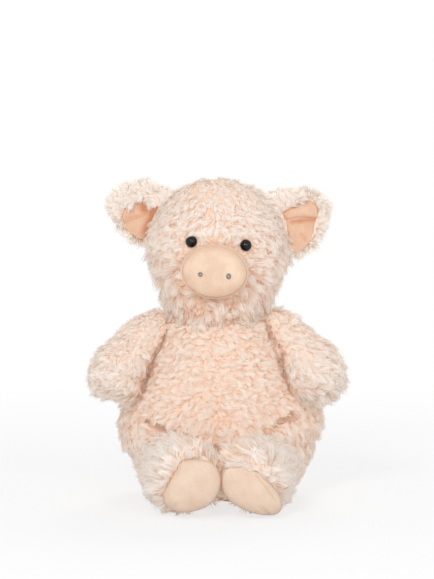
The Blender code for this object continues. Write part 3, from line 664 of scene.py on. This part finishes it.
SOLES = {  # x and z in mm
    "right": [
        (-30.9, 50), (-17.4, 51.5), (-5.7, 49), (0.9, 40), (2.1, 31), (-1.1, 20.5), (-9.6, 11),
        (-22.5, 6), (-35.3, 5.8), (-44.8, 11), (-47.7, 19), (-43.7, 30), (-37.6, 41),
    ],
    "left": [
        (7.4, 44.5), (16, 45.5), (26.8, 43.4), (35.4, 40), (43, 33), (49.5, 24.5), (54, 16), (54.4, 8),
        (49.5, 3.2), (40.8, 2.6), (30, 4.6), (19.2, 9), (10.1, 15.5), (4.1, 24), (2.6, 33), (3.7, 40),
    ],
}
LININGS = {
    "left": [
        (55.5, 247.5), (63.5, 252.5), (71.5, 256.8), (79, 259.2), (84.8, 254.5), (86.2, 245),
        (84.5, 237), (83, 229.4), (80.3, 222.3), (75.6, 216), (70, 211.4), (66.4, 209.8),
        (62.8, 215), (60.2, 225), (58.4, 236.4), (56.8, 244),
    ],
    "right": [
        (-52.6, 251), (-59.6, 257.5), (-69, 259.4), (-78, 255.2), (-83.6, 247.6), (-84, 239.4),
        (-81.3, 232.6), (-76.1, 226.7), (-70, 222.8), (-65.2, 222.4), (-61, 228), (-58.6, 236),
        (-55.6, 243.6),
    ],
}


# %% The legs' and the ears' nap
def leg_nap(side):
    way = 1 if side == "left" else -1
    toe, hip = np.array([way * 0.0242, -0.1372, 0.030]), np.array([way * 0.0399, -0.0435, 0.030])
    axis = unit(toe - hip)

    def nap(p, n):
        along = ((p - hip) @ axis) / np.linalg.norm(toe - hip)
        edge, away = from_outline(p, SOLES[side])
        rim = fade(along, 0.70, 0.95)[:, None]
        swept = unit(away)
        if side == "left":  # its long locks are combed over the top edge of the sole
            over = np.tanh((p[:, 0] - 0.046 + smooth_noise(p, 250, 4.5)[:, 0] * 0.02) / 0.006)
            combed = np.stack([over, np.zeros(len(p)), -0.45 - 0.2 * over], axis=1)
            swept = combed * fade(away[:, 2], 0.004, 0.016)[:, None] * 1.3 + swept
        flow = swept * (0.6 + 0.6 * rim) - axis * (0.6 - 0.4 * rim)
        flow = flow + np.array([way * 0.3, 0, 0.1]) * (1 - rim)
        length = 0.0105 + 0.0030 * fade(along, 0.5, 0.85)
        behind_sole = fade(-n[:, 1], 0.4, 0.7) * fade(along, 0.6, 0.7)
        sides = (1 - fade(along, 0.93, 0.99)) * (1 - behind_sole)
        cover = np.maximum(sides, fade(edge, -0.0005, 0.0020))
        under = fade(-away[:, 2] / (np.linalg.norm(away, axis=1) + 1e-9), 0.45, 0.75)
        under = under * (1 - fade(p[:, 0] * way, 0.040, 0.048))
        cover = cover * (1 - under * fade(along, 0.75, 0.90))
        lay = 1.12 - 0.22 * rim[:, 0]
        return flow, lay, length, 0.60 + 0.32 * fade(along, 0.4, 0.8), cover

    return nap


def ear_nap(side):
    root = np.array(joints[f"{side}_ear_flop"]["pos_m"])

    def nap(p, n):
        edge, away = from_outline(p, LININGS[side])
        behind = fade(n[:, 1], -0.1, 0.4)
        top = fade(away[:, 2], 0.010, 0.018) * (1 - behind) * (1 - fade(edge, 0.003, 0.007))
        top = top * (0.45 if side == "left" else 1.0)
        flow = unit(away) * (1 - 1.7 * top)[:, None] + unit(p - root) * 0.3
        flow = flow + np.array([0, 0.1, -0.25])
        cover = np.maximum(behind, fade(edge, -0.0005, 0.0020))
        length = 0.0068 - 0.0010 * fade(edge, 0.004, 0.012)
        return flow, 1.20 - 0.25 * top, length, np.full(len(p), 0.95), cover

    return nap


# %% [markdown]
# ## The bed of the fur
# The bed lifts a skin where fur grows and stays low behind velour. A list of bulges and
# hollows shapes it, which is easier to change than a sculpture.

# %% Bed
BED = {"torso": 0.0030, "head": 0.0030, "arm": 0.0030, "leg": 0.0030, "ear": 0.0018}
TRIMS = {  # x and z of the place, how far round it, and how far out, in mm
    "torso": [(-72, 26, 24, -4.5), (68, 72, 24, 3.0), (-86, 62, 24, 0.8), (88, 70, 26, 3.0)],
    "head": [
        (0, 278, 22, 1.0), (-24, 270, 20, 2.0), (28, 268, 20, 2.0),
        (-62, 200, 30, -3.4), (-56, 172, 22, -3.0),
    ],
    "arm_left": [(78, 150, 22, -3.0), (55, 118, 16, -2.0)],
    "arm_right": [
        (-108, 118, 30, 2.6), (-88, 84, 16, -5.0), (-58, 112, 20, -4.5), (-50, 132, 18, -3.5),
    ],
    "leg_left": [(60, 2, 16, 3.6), (76, 18, 16, -2.5)],
    "leg_right": [(-70, 14, 18, -3.0), (-52, 0, 16, -2.0)],
    "ear_left": [(98, 236, 20, -4.4), (84, 266, 12, 1.6)],
    "ear_right": [(-84, 274, 24, -3.6), (-47, 274, 16, -4.0), (-72, 222, 12, -2.2)],
}
NECK_TUCK = 0.0055  # how far the sides of the neck are drawn in
EAR_HOLLOW = 0.0035  # how deep the ear is cupped behind its lining
TOE_TUCK, SOLE_TUCK = 0.0045, 0.0030  # how far the skin is drawn in under and behind a sole
TOE_LIFT, INNER_LIFT = 0.0060, 0.0090  # how far a leg's underside rises to the sole, and inside
BARE = 0.2  # cover under which skin counts as bare


def kind_of(part):
    return part.split("_")[0]


def lay_bed(part, nap):
    """Moves the skin's points to where its fur is rooted."""
    mesh, kind = skins[part].data, kind_of(part)
    points, normals = points_of(mesh), normals_of(mesh)
    x, forward, z = points[:, 0], -points[:, 1], points[:, 2]
    cover, across = nap(points, normals)[4], normals
    rise = cover * BED[kind]
    if kind == "head":
        rise = rise - NECK_TUCK * fade(-z, -0.212, -0.180) * fade(abs(x), 0.02, 0.045)
    elif kind == "ear":  # a thin ear is trimmed in its own plane
        edge, across = from_outline(points, LININGS[part[4:]])
        rise = rise - EAR_HOLLOW * fade(-edge, -0.001, 0.010) * fade(-normals[:, 1], 0.2, 0.6)
    elif kind == "leg":
        rise = rise - TOE_TUCK * fade(forward, 0.115, 0.132) * fade(-z, -0.018, -0.006)
        rise = rise - SOLE_TUCK * fade(forward, 0.118, 0.130) * (cover < BARE)
    bed = points + normals * rise[:, None]
    for place_x, place_z, round_it, outward in TRIMS[part]:
        gap = np.hypot(x - place_x / 1000, z - place_z / 1000)
        share = 1 - fade(gap, 0.3 * round_it / 1000, round_it / 1000)
        bed += unit(across) * (outward / 1000 * share)[:, None]
    if kind == "leg":
        low = fade(-z, -0.030, -0.002)
        inner = 1 - fade(abs(x), 0.018, 0.040)
        bed[:, 2] += low * TOE_LIFT * fade(forward, 0.085, 0.122)
        bed[:, 2] += low * inner * INNER_LIFT * fade(forward, 0.040, 0.090)
    bed[:, 2] = np.maximum(bed[:, 2], 0.0003)
    move_points(mesh, bed)


# %% [markdown]
# ## Two coats
# Plush is dense below and loose on top: short broad fibres hide the skin, and longer, finer
# locks lie over them. Each coat's own seed keeps every render the same.

# %% Grow the fur
NAPS = {"torso": torso_nap, "head": head_nap}
for limb, nap_of in (("arm", arm_nap), ("leg", leg_nap), ("ear", ear_nap)):
    for side in ("left", "right"):
        NAPS[f"{limb}_{side}"] = nap_of(side)
FIRST_SEED = 11
# spacing, fibres, their breadth and splay, length share, tone shift, lay shift, radius, seed shift
LAYERS = {
    "under": (0.0040, 16, 0.00070, 0.24, 0.72, -0.16, 0.05, 0.0027, 0),
    "locks": (0.0052, 38, 0.00050, 0.12, 1.02, 0.18, -0.10, 0.0026, 40),
}
EAR_SCALE, EAR_SPLAY = 0.62, 0.30  # the ears' locks stand closer and fan out more
PALE_ROOTS = {"torso": 0.0, "head": 0.04, "arm": 0.20, "leg": 0.26, "ear": 0.34}
CREASED = {"torso": 1.0, "head": 0.0, "arm": 1.0, "leg": 0.5, "ear": 0.0}  # share of the shade
PLAIN_BULK = 1.05  # of the locks, apart from the head's
USUAL_LENGTH = 0.0092  # of a lock with the layer's own radius
LEAST_COVER = 0.3  # fur grows where the nap's cover is more
MOST_FIBRES = 48000  # a piece of fur stays light enough to handle
coats = {part: [] for part in NAPS}


def grow(part, nap, seed, layer):
    """One coat of a part's fur, in as many pieces as its weight needs."""
    spacing, fibres, broad, splay, long, shift, lift, size, own_seed = LAYERS[layer]
    kind, salt = kind_of(part), seed + own_seed
    if kind == "ear":
        spacing, splay = spacing * EAR_SCALE, EAR_SPLAY
    roots, out = scatter(skins[part].data, spacing, salt)
    y, z = roots[:, 1], roots[:, 2]
    flow, lay, length, tone, cover = nap(roots, out)
    bulk = np.full(len(roots), PLAIN_BULK if layer == "locks" else 1.0)
    if (kind, layer) == ("head", "locks"):
        bulk = head_bulk(roots)
    chance = np.random.default_rng(salt + 500).random(len(roots))
    keep = (cover > LEAST_COVER) & (chance < bulk**-1.6)  # thick locks are fewer
    length = length * bulk**0.5
    flow = unit(flow) + smooth_noise(roots, 60, 3.1 * salt) * 0.8
    tone = tone + shift + smooth_noise(roots, 45, 7.7 * salt)[:, 0] * 0.5
    deep = crease_shade(roots) * CREASED[kind]
    if (kind, layer) == ("head", "under"):  # little light gets in under the cheeks
        deep = 0.60 * (1 - fade(z, 0.195, 0.225)) * fade(-y, 0.0, 0.02)
    tone, length = np.clip(tone - 0.8 * deep, 0.03, 0.95), length * (1 - 0.22 * deep)
    # Roots take less of the ramp's painted shade on the limbs and ears, and less again high on the head.
    light = PALE_ROOTS[kind] + 0.25 * fade(z, 0.245, 0.262)
    roots, out, flow, lay, length, tone, bulk, deep, light = (
        values[keep] for values in (roots, out, flow, lay, length, tone, bulk, deep, light)
    )
    order = np.argsort(roots[:, 1], kind="stable")
    groups = np.array_split(order, -(-len(order) * fibres // MOST_FIBRES))
    for number, g in enumerate(groups):
        radius = size * length[g] / USUAL_LENGTH * bulk[g] ** 0.6
        coats[part].append(tuft_mesh(
            f"{part}_{layer}_{number + 1}", roots[g], out[g], flow[g], lay[g] + lift,
            length[g] * long, radius, tone[g], deep[g], light[g], fibres, broad, splay, salt + number,
        ))
    print(part, layer, "tufts:", len(roots), "pieces:", len(groups))


for seed, (part, nap) in enumerate(NAPS.items(), FIRST_SEED):
    lay_bed(part, nap)
    for layer in LAYERS:
        grow(part, nap, seed, layer)

# %% [markdown]
# ## Snout
# The snout is a padded disc of velour: a domed front panel, sewn to a narrow band that runs
# back to the face. Rings of points round the snout's axis make both, and the dip in the row
# of rings near the rim is the seam where the two panels meet.

# %% Snout
def ring_faces(rings, sides):
    """Quads between rings of points, and a fan from the last ring to the pole after it."""
    faces = []
    for ring in range(rings - 1):
        for step in range(sides):
            after = (step + 1) % sides
            low, high = ring * sides, (ring + 1) * sides
            faces.append((low + step, low + after, high + after, high + step))
    last = (rings - 1) * sides
    return faces + [(last + step, last + (step + 1) % sides, last + sides) for step in range(sides)]


def polar_mesh(rows, sides):
    """Skins rows of (half width, half height, forward) ovals; the last row is a pole."""
    turns = np.arange(sides) * 2 * pi / sides
    points = [
        (wide * cos(t), high * sin(t), forward)
        for wide, high, forward in rows[:-1]
        for t in turns
    ]
    points.append((0, 0, rows[-1][2]))
    mesh = bpy.data.meshes.new("rings")
    mesh.from_pydata(points, [], ring_faces(len(rows) - 1, sides))
    return mesh


# share of the half width and height, and metres forward
SNOUT_BAND = [(0.84, -0.008), (0.88, -0.002), (0.945, 0.003), (0.985, 0.007), (1.0, 0.0103)]
SNOUT_ROLL = [
    (1.0, 0.0120), (0.998, 0.0130), (0.985, 0.0139), (0.967, 0.0143), (0.953, 0.0139), (0.945, 0.0136),
]
DOME_BASE, DOME_HEIGHT, DOME_SHARE, DOME_ROWS = 0.0136, 0.0082, 0.940, 28
SEAM, SEAM_REACH = 0.947, 0.022  # where the seam runs, and how far round it the cloth dips
profile = SNOUT_BAND + SNOUT_ROLL
for step in range(1, DOME_ROWS + 1):
    swing = pi / 2 * step / DOME_ROWS
    profile.append((DOME_SHARE * cos(swing), DOME_BASE + DOME_HEIGHT * sin(swing) ** 0.85))
rows = [(SNOUT_HALF[0] * share, SNOUT_HALF[1] * share, place) for share, place in profile]
snout_place = Matrix.Translation(HEAD_FRAME @ Vector((0, -0.0578, 0.0131)))
snout_frame = snout_place @ HEAD_TURN @ Matrix.Rotation(pi / 2, 4, "X")
mesh = polar_mesh(rows, 96)
points = points_of(mesh)
off = np.hypot(points[:, 0] / SNOUT_HALF[0], points[:, 1] / SNOUT_HALF[1])
above = fade(points[:, 1] / SNOUT_HALF[1], -0.2, 0.7)  # the seam hardly shows along the top
dip = (1 - fade(abs(off - SEAM), 0.0, SEAM_REACH)) * (points[:, 2] > 0.0125)
points[:, 2] += dip * (0.0007 * above - 0.0002 * (1 - above))
move_points(mesh, points)
# Painted shade in the fold values: the lower half is darker, as light falls from above, and so is a band
# along the top rim; the seam line is darker too.
below = fade(-points[:, 1] / SNOUT_HALF[1], 0.0, 1.0) * 0.24
rim = above * 0.42 * fade(off, 0.62, 0.95)
set_fold_shade(mesh, np.maximum(dip * (0.60 - 0.40 * above), rim + below))
mesh.transform(snout_frame)
snout = put_on(link("snout_panel", mesh), velour)
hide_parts("snout_cover", "snout_stuffing", "snout_seam")
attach(snout, "head")
print("snout middle:", [round(v, 4) for v in snout_frame.translation])

# %% [markdown]
# ## Eyes and nostrils
# A safety eye is a turned plastic dome, so it is a profile swept round an axis. Each nostril
# is a small ring of short stitches in grey thread, with a little velour left in its middle.

# %% Eyes and nostrils
EYE_RADIUS, EYE_PROUD = 0.0052, 0.0050
EYE_FOOT = (0.0046, 0.0046, -0.0012)  # the dome's lower edge, sunk in the fur
RING_REACH, RING_HOLE, RING_STITCHES = 0.0022, 0.0005, 13
STITCH_ARCH, STITCH_SUNK, STITCH_THICK = 0.0006, 0.0002, 0.0003
snout_tree = BVHTree.FromObject(snout, bpy.context.evaluated_depsgraph_get())


def stitched_ring(spot, tall):
    """A ring of short stitches, each a small arch over the cloth."""
    build = bmesh.new()
    for number in range(RING_STITCHES):
        turn = 2 * pi * number / RING_STITCHES
        way, across = Vector((cos(turn), 0, sin(turn) * tall)), Vector((-sin(turn), 0, cos(turn)))
        rings = []
        for step in range(7):  # along the stitch, which broadens outwards
            share = step / 6
            spread = RING_HOLE + (RING_REACH - RING_HOLE) * share
            x, z = spot[0] + way.x * spread, spot[2] + way.z * spread
            base = snout_tree.ray_cast(Vector((x, -0.2, z)), Vector((0, 1, 0)))[0]
            middle = base - Vector((0, STITCH_ARCH * sin(pi * share) - STITCH_SUNK, 0))
            thick = spread * pi / RING_STITCHES * 1.15
            rings.append([
                build.verts.new(middle + across * thick * cos(a) - Vector((0, STITCH_THICK * sin(a), 0)))
                for a in np.arange(6) * pi / 3
            ])
        for first, second in zip(rings, rings[1:]):
            for k in range(6):
                build.faces.new((first[k], first[(k + 1) % 6], second[(k + 1) % 6], second[k]))
        build.faces.new(rings[0][::-1])
        build.faces.new(rings[-1])
    bmesh.ops.recalc_face_normals(build, faces=build.faces)
    mesh = bpy.data.meshes.new("stitches")
    build.to_mesh(mesh)
    build.free()
    return mesh


for side in ("left", "right"):
    node = nodes[f"eye_{side}"]
    points = points_of(node.data)
    middle = points.mean(axis=0)
    _, _, axes = np.linalg.svd(points - middle)
    outward = Vector(axes[0] if axes[0][1] < 0 else -axes[0])
    front = Vector(points[(points @ np.array(outward)).argmax()])
    base = front - outward * EYE_PROUD
    dome = [
        (EYE_RADIUS * cos(a), EYE_RADIUS * cos(a), EYE_PROUD * sin(a))
        for a in (pi / 2 * k / 20 for k in range(20))
    ]
    mesh = polar_mesh([EYE_FOOT] + dome + [(0, 0, EYE_PROUD)], 56)
    mesh.transform(Matrix.Translation(base) @ outward.to_track_quat("Z", "Y").to_matrix().to_4x4())
    eye = put_on(link(f"eye_dome_{side}", mesh), eye_gloss)
    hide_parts(f"eye_{side}")
    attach(eye, "head")
    put_on(nodes[f"eye_washer_{side}"], washer_finish)

    spot = middle_of(f"nostril_{side}")
    ring = stitched_ring(spot, 1.25 if side == "left" else 1.0)
    dot = put_on(link(f"nostril_stitch_{side}", ring), stitch)
    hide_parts(f"nostril_{side}")
    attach(dot, "head")
    print(side, "stitch points:", len(dot.data.vertices))

# %% [markdown]
# ## Velour panels
# Each ear has a lining and each foot a sole: a panel cut to its own outline and sewn in.
# Rings run from the outline to the middle, so the seam follows the edge exactly. A depth
# function says how far forward each point lies: on the cloth behind it, plus its own swell.

# %% Panels
def panel(outline, forward, fold, sides, rings=44):
    """Rings of points inside the outline: forward(x, z, share) gives y, and fold the shade."""
    edge = rounded(outline, sides)
    middle = edge.mean(axis=0)
    points = []
    for ring in range(rings):
        share = 1 - ring / rings
        points += [(*(middle + (spot - middle) * share), share) for spot in edge]
    points.append((*middle, 0.0))
    corners = [(x, forward(x, z, share), z) for x, z, share in points]
    mesh = bpy.data.meshes.new("panel")
    mesh.from_pydata(corners, [], ring_faces(rings, sides))
    points = np.array(points)
    set_fold_shade(mesh, fold(points[:, :2], points[:, 2]))
    return mesh


def near_line(spots, line, reach):
    """1 on a line of points in mm, seen from the front, and 0 from reach mm away."""
    return 1 - fade(line_gap(spots, line), 0.0, reach / 1000)


def cloth_behind(piece):
    tree = BVHTree.FromObject(piece, bpy.context.evaluated_depsgraph_get())

    def depth(x, z):
        hit = tree.ray_cast(Vector((x, -0.3, z)), Vector((0, 1, 0)))[0]
        return hit.y if hit else None

    return depth


# %% [markdown]
# ## Ear linings
# An ear is folded where it is sewn to the head. On the left ear a fold of velour stands out
# like a soft tube, with a shadow below it. On the right one the upper band only bends over a
# crease, and the inner corner is a hollow. The shade under the folds, in the slit and in the
# hollow is also painted into the velour.

# %% Ear linings
# x, lower z and height at each end, and how far it stands out
FOLD_LEFT = ((0.0600, 0.2410, 0.0076), (0.0860, 0.2434, 0.0140), 0.34)
FOLD_RIGHT = ((-0.0840, 0.2388, 0.0085), (-0.0600, 0.2466, 0.0080), 0.13)


def fold_depth(fold, x, z):
    """How far a fold stands out: a half tube above its lower edge."""
    (x0, z0, h0), (x1, z1, h1), deep = fold
    along = (x - x0) / (x1 - x0)
    tall = h0 + (h1 - h0) * along
    edge = z0 + (z1 - z0) * along + 0.0007 * sin(along * 5)
    level = (z - edge) / tall
    if not 0 < level < 1:
        return 0.0
    return deep * tall * sqrt(1 - (2 * level - 1) ** 2) * (0.55 + 0.45 * (1 - level))


def lining(side, fold, shade):
    depth = cloth_behind(skins[f"ear_{side}"])
    middle = depth(*(np.array(LININGS[side]).mean(axis=0) / 1000))

    def forward(x, z, share):
        base = depth(x, z)
        base = middle if base is None or base > middle + 0.004 else base
        soft = (noise.noise(Vector((x * 150, 0, z * 70))) + 0.6) * 0.0018 * (1 - share**3)
        rim = 0.0016 * fade(share, 0.86, 1.0)
        return base - 0.0009 - fold_depth(fold, x, z) - soft + rim

    mesh = panel(LININGS[side], forward, shade, 120)
    return put_on(link(f"ear_velour_{side}", mesh), ear_velour)


def darkest(*shades):
    return np.minimum(np.max(shades, axis=0), 1)


def shade_left(spots, share):
    # Painted shade under the flap, in the slit above it, by the head and in a dimple; the rim is darker
    # too.
    below = near_line(spots, [(64, 238.6), (74, 239.6), (86, 241.0)], 3.6) * 0.75
    slit = near_line(spots, [(54, 247.0), (60, 250.2), (68, 254.2), (77, 259)], 3.0)
    inner = (1 - fade(spots[:, 0], 0.056, 0.064)) * 0.40
    dimple = near_line(spots, [(72, 228), (76, 223)], 3.0) * 0.30
    return darkest(below, slit, inner, dimple, 0.30 * fade(share, 0.90, 1.0))


def shade_right(spots, share):
    # Painted shade below the crease, in the inner hollow and on the inner side; the rim is darker too.
    below = near_line(spots, [(-82, 237.6), (-72, 241.4), (-63, 244.6)], 2.2) * 0.35
    recess = near_line(spots, [(-64, 250), (-58, 249.5), (-57, 242), (-62, 230)], 8.0)
    inner = fade(spots[:, 0], -0.070, -0.058) * 0.40
    seam = 0.30 * fade(share, 0.90, 1.0)
    # The whole lining also takes some painted shade, since the key lamp on its side lights it more.
    return np.minimum(0.16 + darkest(below, recess, inner, seam), 1)


lining("left", FOLD_LEFT, shade_left)
lining("right", FOLD_RIGHT, shade_right)
for side in ("left", "right"):
    ear = bpy.data.objects[f"ear_velour_{side}"]
    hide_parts(f"ear_lining_{side}")
    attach(ear, f"{side}_ear")
    print(ear.name, "points:", len(ear.data.vertices))

# %% [markdown]
# ## Soles
# A sole is a full cushion: it swells from its seam and is roundest a little above its middle.
# One foot stands upright and the other is rolled outwards, so the outlines differ. A few
# creases run in from the outer corner, where the cloth is eased round the curve.

# %% Soles
SOLE_PLANE, SOLE_SWELL, SOLE_LEAN = -0.1372, 0.0098, 0.10
CREASE_DEPTH, CREASE_HALF = 0.0007, 0.0011


def sole_depth(side):
    way = 1 if side == "left" else -1

    def forward(x, z, share):
        swell = SOLE_SWELL * max(1 - share**2.6, 0) ** 0.62
        soft = noise.noise(Vector((x * 45, way * 3, z * 45))) * 0.0012 * (1 - share**2)
        crease = 0.0
        for k in range(3):
            line = abs((x * way - 0.034 - 0.004 * k) * 0.8 + (z - 0.012 + 0.003 * k) * 0.6)
            crease += CREASE_DEPTH * np.exp(-((line / CREASE_HALF) ** 2)) * fade(share, 0.45, 0.8)
        lip = 0.0012 * fade(share, 0.955, 1.0)
        return SOLE_PLANE + SOLE_LEAN * (x * way - 0.024) - swell - soft + crease + lip

    return forward


def sole_shade(side):
    seam = [(32, 39), (41, 28), (49, 16)] if side == "left" else [(-40, 38), (-44, 24), (-40, 12)]

    def shade(spots, share):
        line = near_line(spots, seam, 1.2) * (0.55 if side == "left" else 0.25)
        return np.maximum(line, 0.45 * fade(share, 0.93, 1.0))

    return shade


for side in ("left", "right"):
    mesh = panel(SOLES[side], sole_depth(side), sole_shade(side), 128)
    pad = put_on(link(f"sole_{side}", mesh), sole_velour)
    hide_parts(f"foot_pad_{side}", f"foot_seam_{side}")
    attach(pad, f"{side}_leg")
    print(pad.name, "points:", len(mesh.vertices))

# %% [markdown]
# ## Tail
# The photo does not show it. Toys of this kind have a small curled tube of velour.

# %% Tail
tail = put_on(link("tail_curl", remeshed("tail", 0.0010, 4)), velour)
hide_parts("tail")
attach(tail, "tail")
print("tail points:", len(tail.data.vertices))

# %% [markdown]
# ## Bodies
# Each skin and each coat of fur now rides on the body of its part.

# %% Ride
for part in NAPS:
    body = "_".join(part.split("_")[::-1])  # an arm_left rides on the left_arm
    for piece in [skins[part], *coats[part]]:
        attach(piece, body)
print("riding:", {part: 1 + len(pieces) for part, pieces in coats.items()})

# %% [markdown]
# ## Studio
# A pale floor, a key lamp in front on the left, a weaker one on the right, a rim lamp behind
# and an even white world. The camera stands 8 degrees above the table and far off, with a
# long lens, so that the feet are not drawn larger than the head.

# %% Studio
def lamp(name, place, aim, size, watts):
    light = bpy.data.lights.new(name, "AREA")
    light.shape = "DISK"
    light.size = size
    light.energy = watts
    made = bpy.data.objects.new(name, light)
    made.location = place
    made.rotation_euler = (Vector(aim) - Vector(place)).to_track_quat("-Z", "Y").to_euler()
    bpy.context.scene.collection.objects.link(made)


lamp("key", (-0.55, -2.0, 1.35), (0, 0, 0.14), 0.60, 21)
lamp("front", (0.9, -2.1, 1.0), (0, 0, 0.15), 0.60, 11)
lamp("rim", (0.3, 1.4, 1.5), (0, 0, 0.15), 0.9, 10)


def seen(finish):
    """1 for what the camera, a mirror or glass sees directly, and 0 for the light it gives."""
    path = finish.node("ShaderNodeLightPath")
    outputs = path.socket.node.outputs
    rays = ("Is Camera Ray", "Is Glossy Ray", "Is Transmission Ray")
    camera, glossy, through = (Wire(finish, outputs[name]) for name in rays)
    return finish.node("ShaderNodeClamp", inputs={0: camera + glossy + through})


class WorldFinish(Finish):
    """The world's nodes, with the same helpers as a finish."""

    def __init__(self, world):
        world.use_nodes = True
        self.tree = world.node_tree
        self.shader = self.tree.nodes["Background"]


world = bpy.data.worlds.new("studio")
bpy.context.scene.world = world
air = WorldFinish(world)
AMBIENT = 0.57  # the world's light on the toy, where 1 is what the camera sees of it
air.drive("Strength", seen(air) * (1 - AMBIENT) + AMBIENT)
air.shader.inputs["Color"].default_value = (1, 1, 1, 1)

floor_mesh = bpy.data.meshes.new("floor")
floor_mesh.from_pydata([(-4, -4, 0), (4, -4, 0), (4, 4, 0), (-4, 4, 0)], [], [(0, 1, 2, 3)])
floor = link("floor", floor_mesh)
paper = Finish("pale_paper", roughness=0.9, specular_ior_level=0.0, emission_strength=1.0)
spot = paper.node("ShaderNodeTexCoord", output=3) * (1, 1, 0)
away = paper.node("ShaderNodeVectorMath", {"operation": "LENGTH"}, {0: spot}, output=1)
far = paper.node("ShaderNodeMapRange", inputs={0: away, 1: 0.22, 2: 0.65})
glow = seen(paper) * (far * 0.3 + 0.7)
paper.drive("Emission Color", paper.mix(glow, (0, 0, 0), (1, 1, 1)))
paper.drive("Base Color", paper.mix(glow, (0.86, 0.86, 0.86), (0, 0, 0)))
put_on(floor, paper)

ELEVATION = radians(8)
DISTANCE = 9.0
FRAME_HEIGHT = 0.5037  # what 579 pixels show at the toy
camera_data = bpy.data.cameras.new("camera")
camera_data.sensor_width = 36
camera_data.lens = 36 * DISTANCE / FRAME_HEIGHT
camera_data.clip_end = 50
camera = bpy.data.objects.new("camera", camera_data)
bpy.context.scene.collection.objects.link(camera)
target = Vector((-0.0013, 0, 0.1797))
back = Vector((0, -cos(ELEVATION), sin(ELEVATION)))
camera.location = target + back * DISTANCE
camera.rotation_euler = (-back).to_track_quat("-Z", "Y").to_euler()
bpy.context.scene.camera = camera
bpy.context.scene.view_settings.view_transform = "Standard"
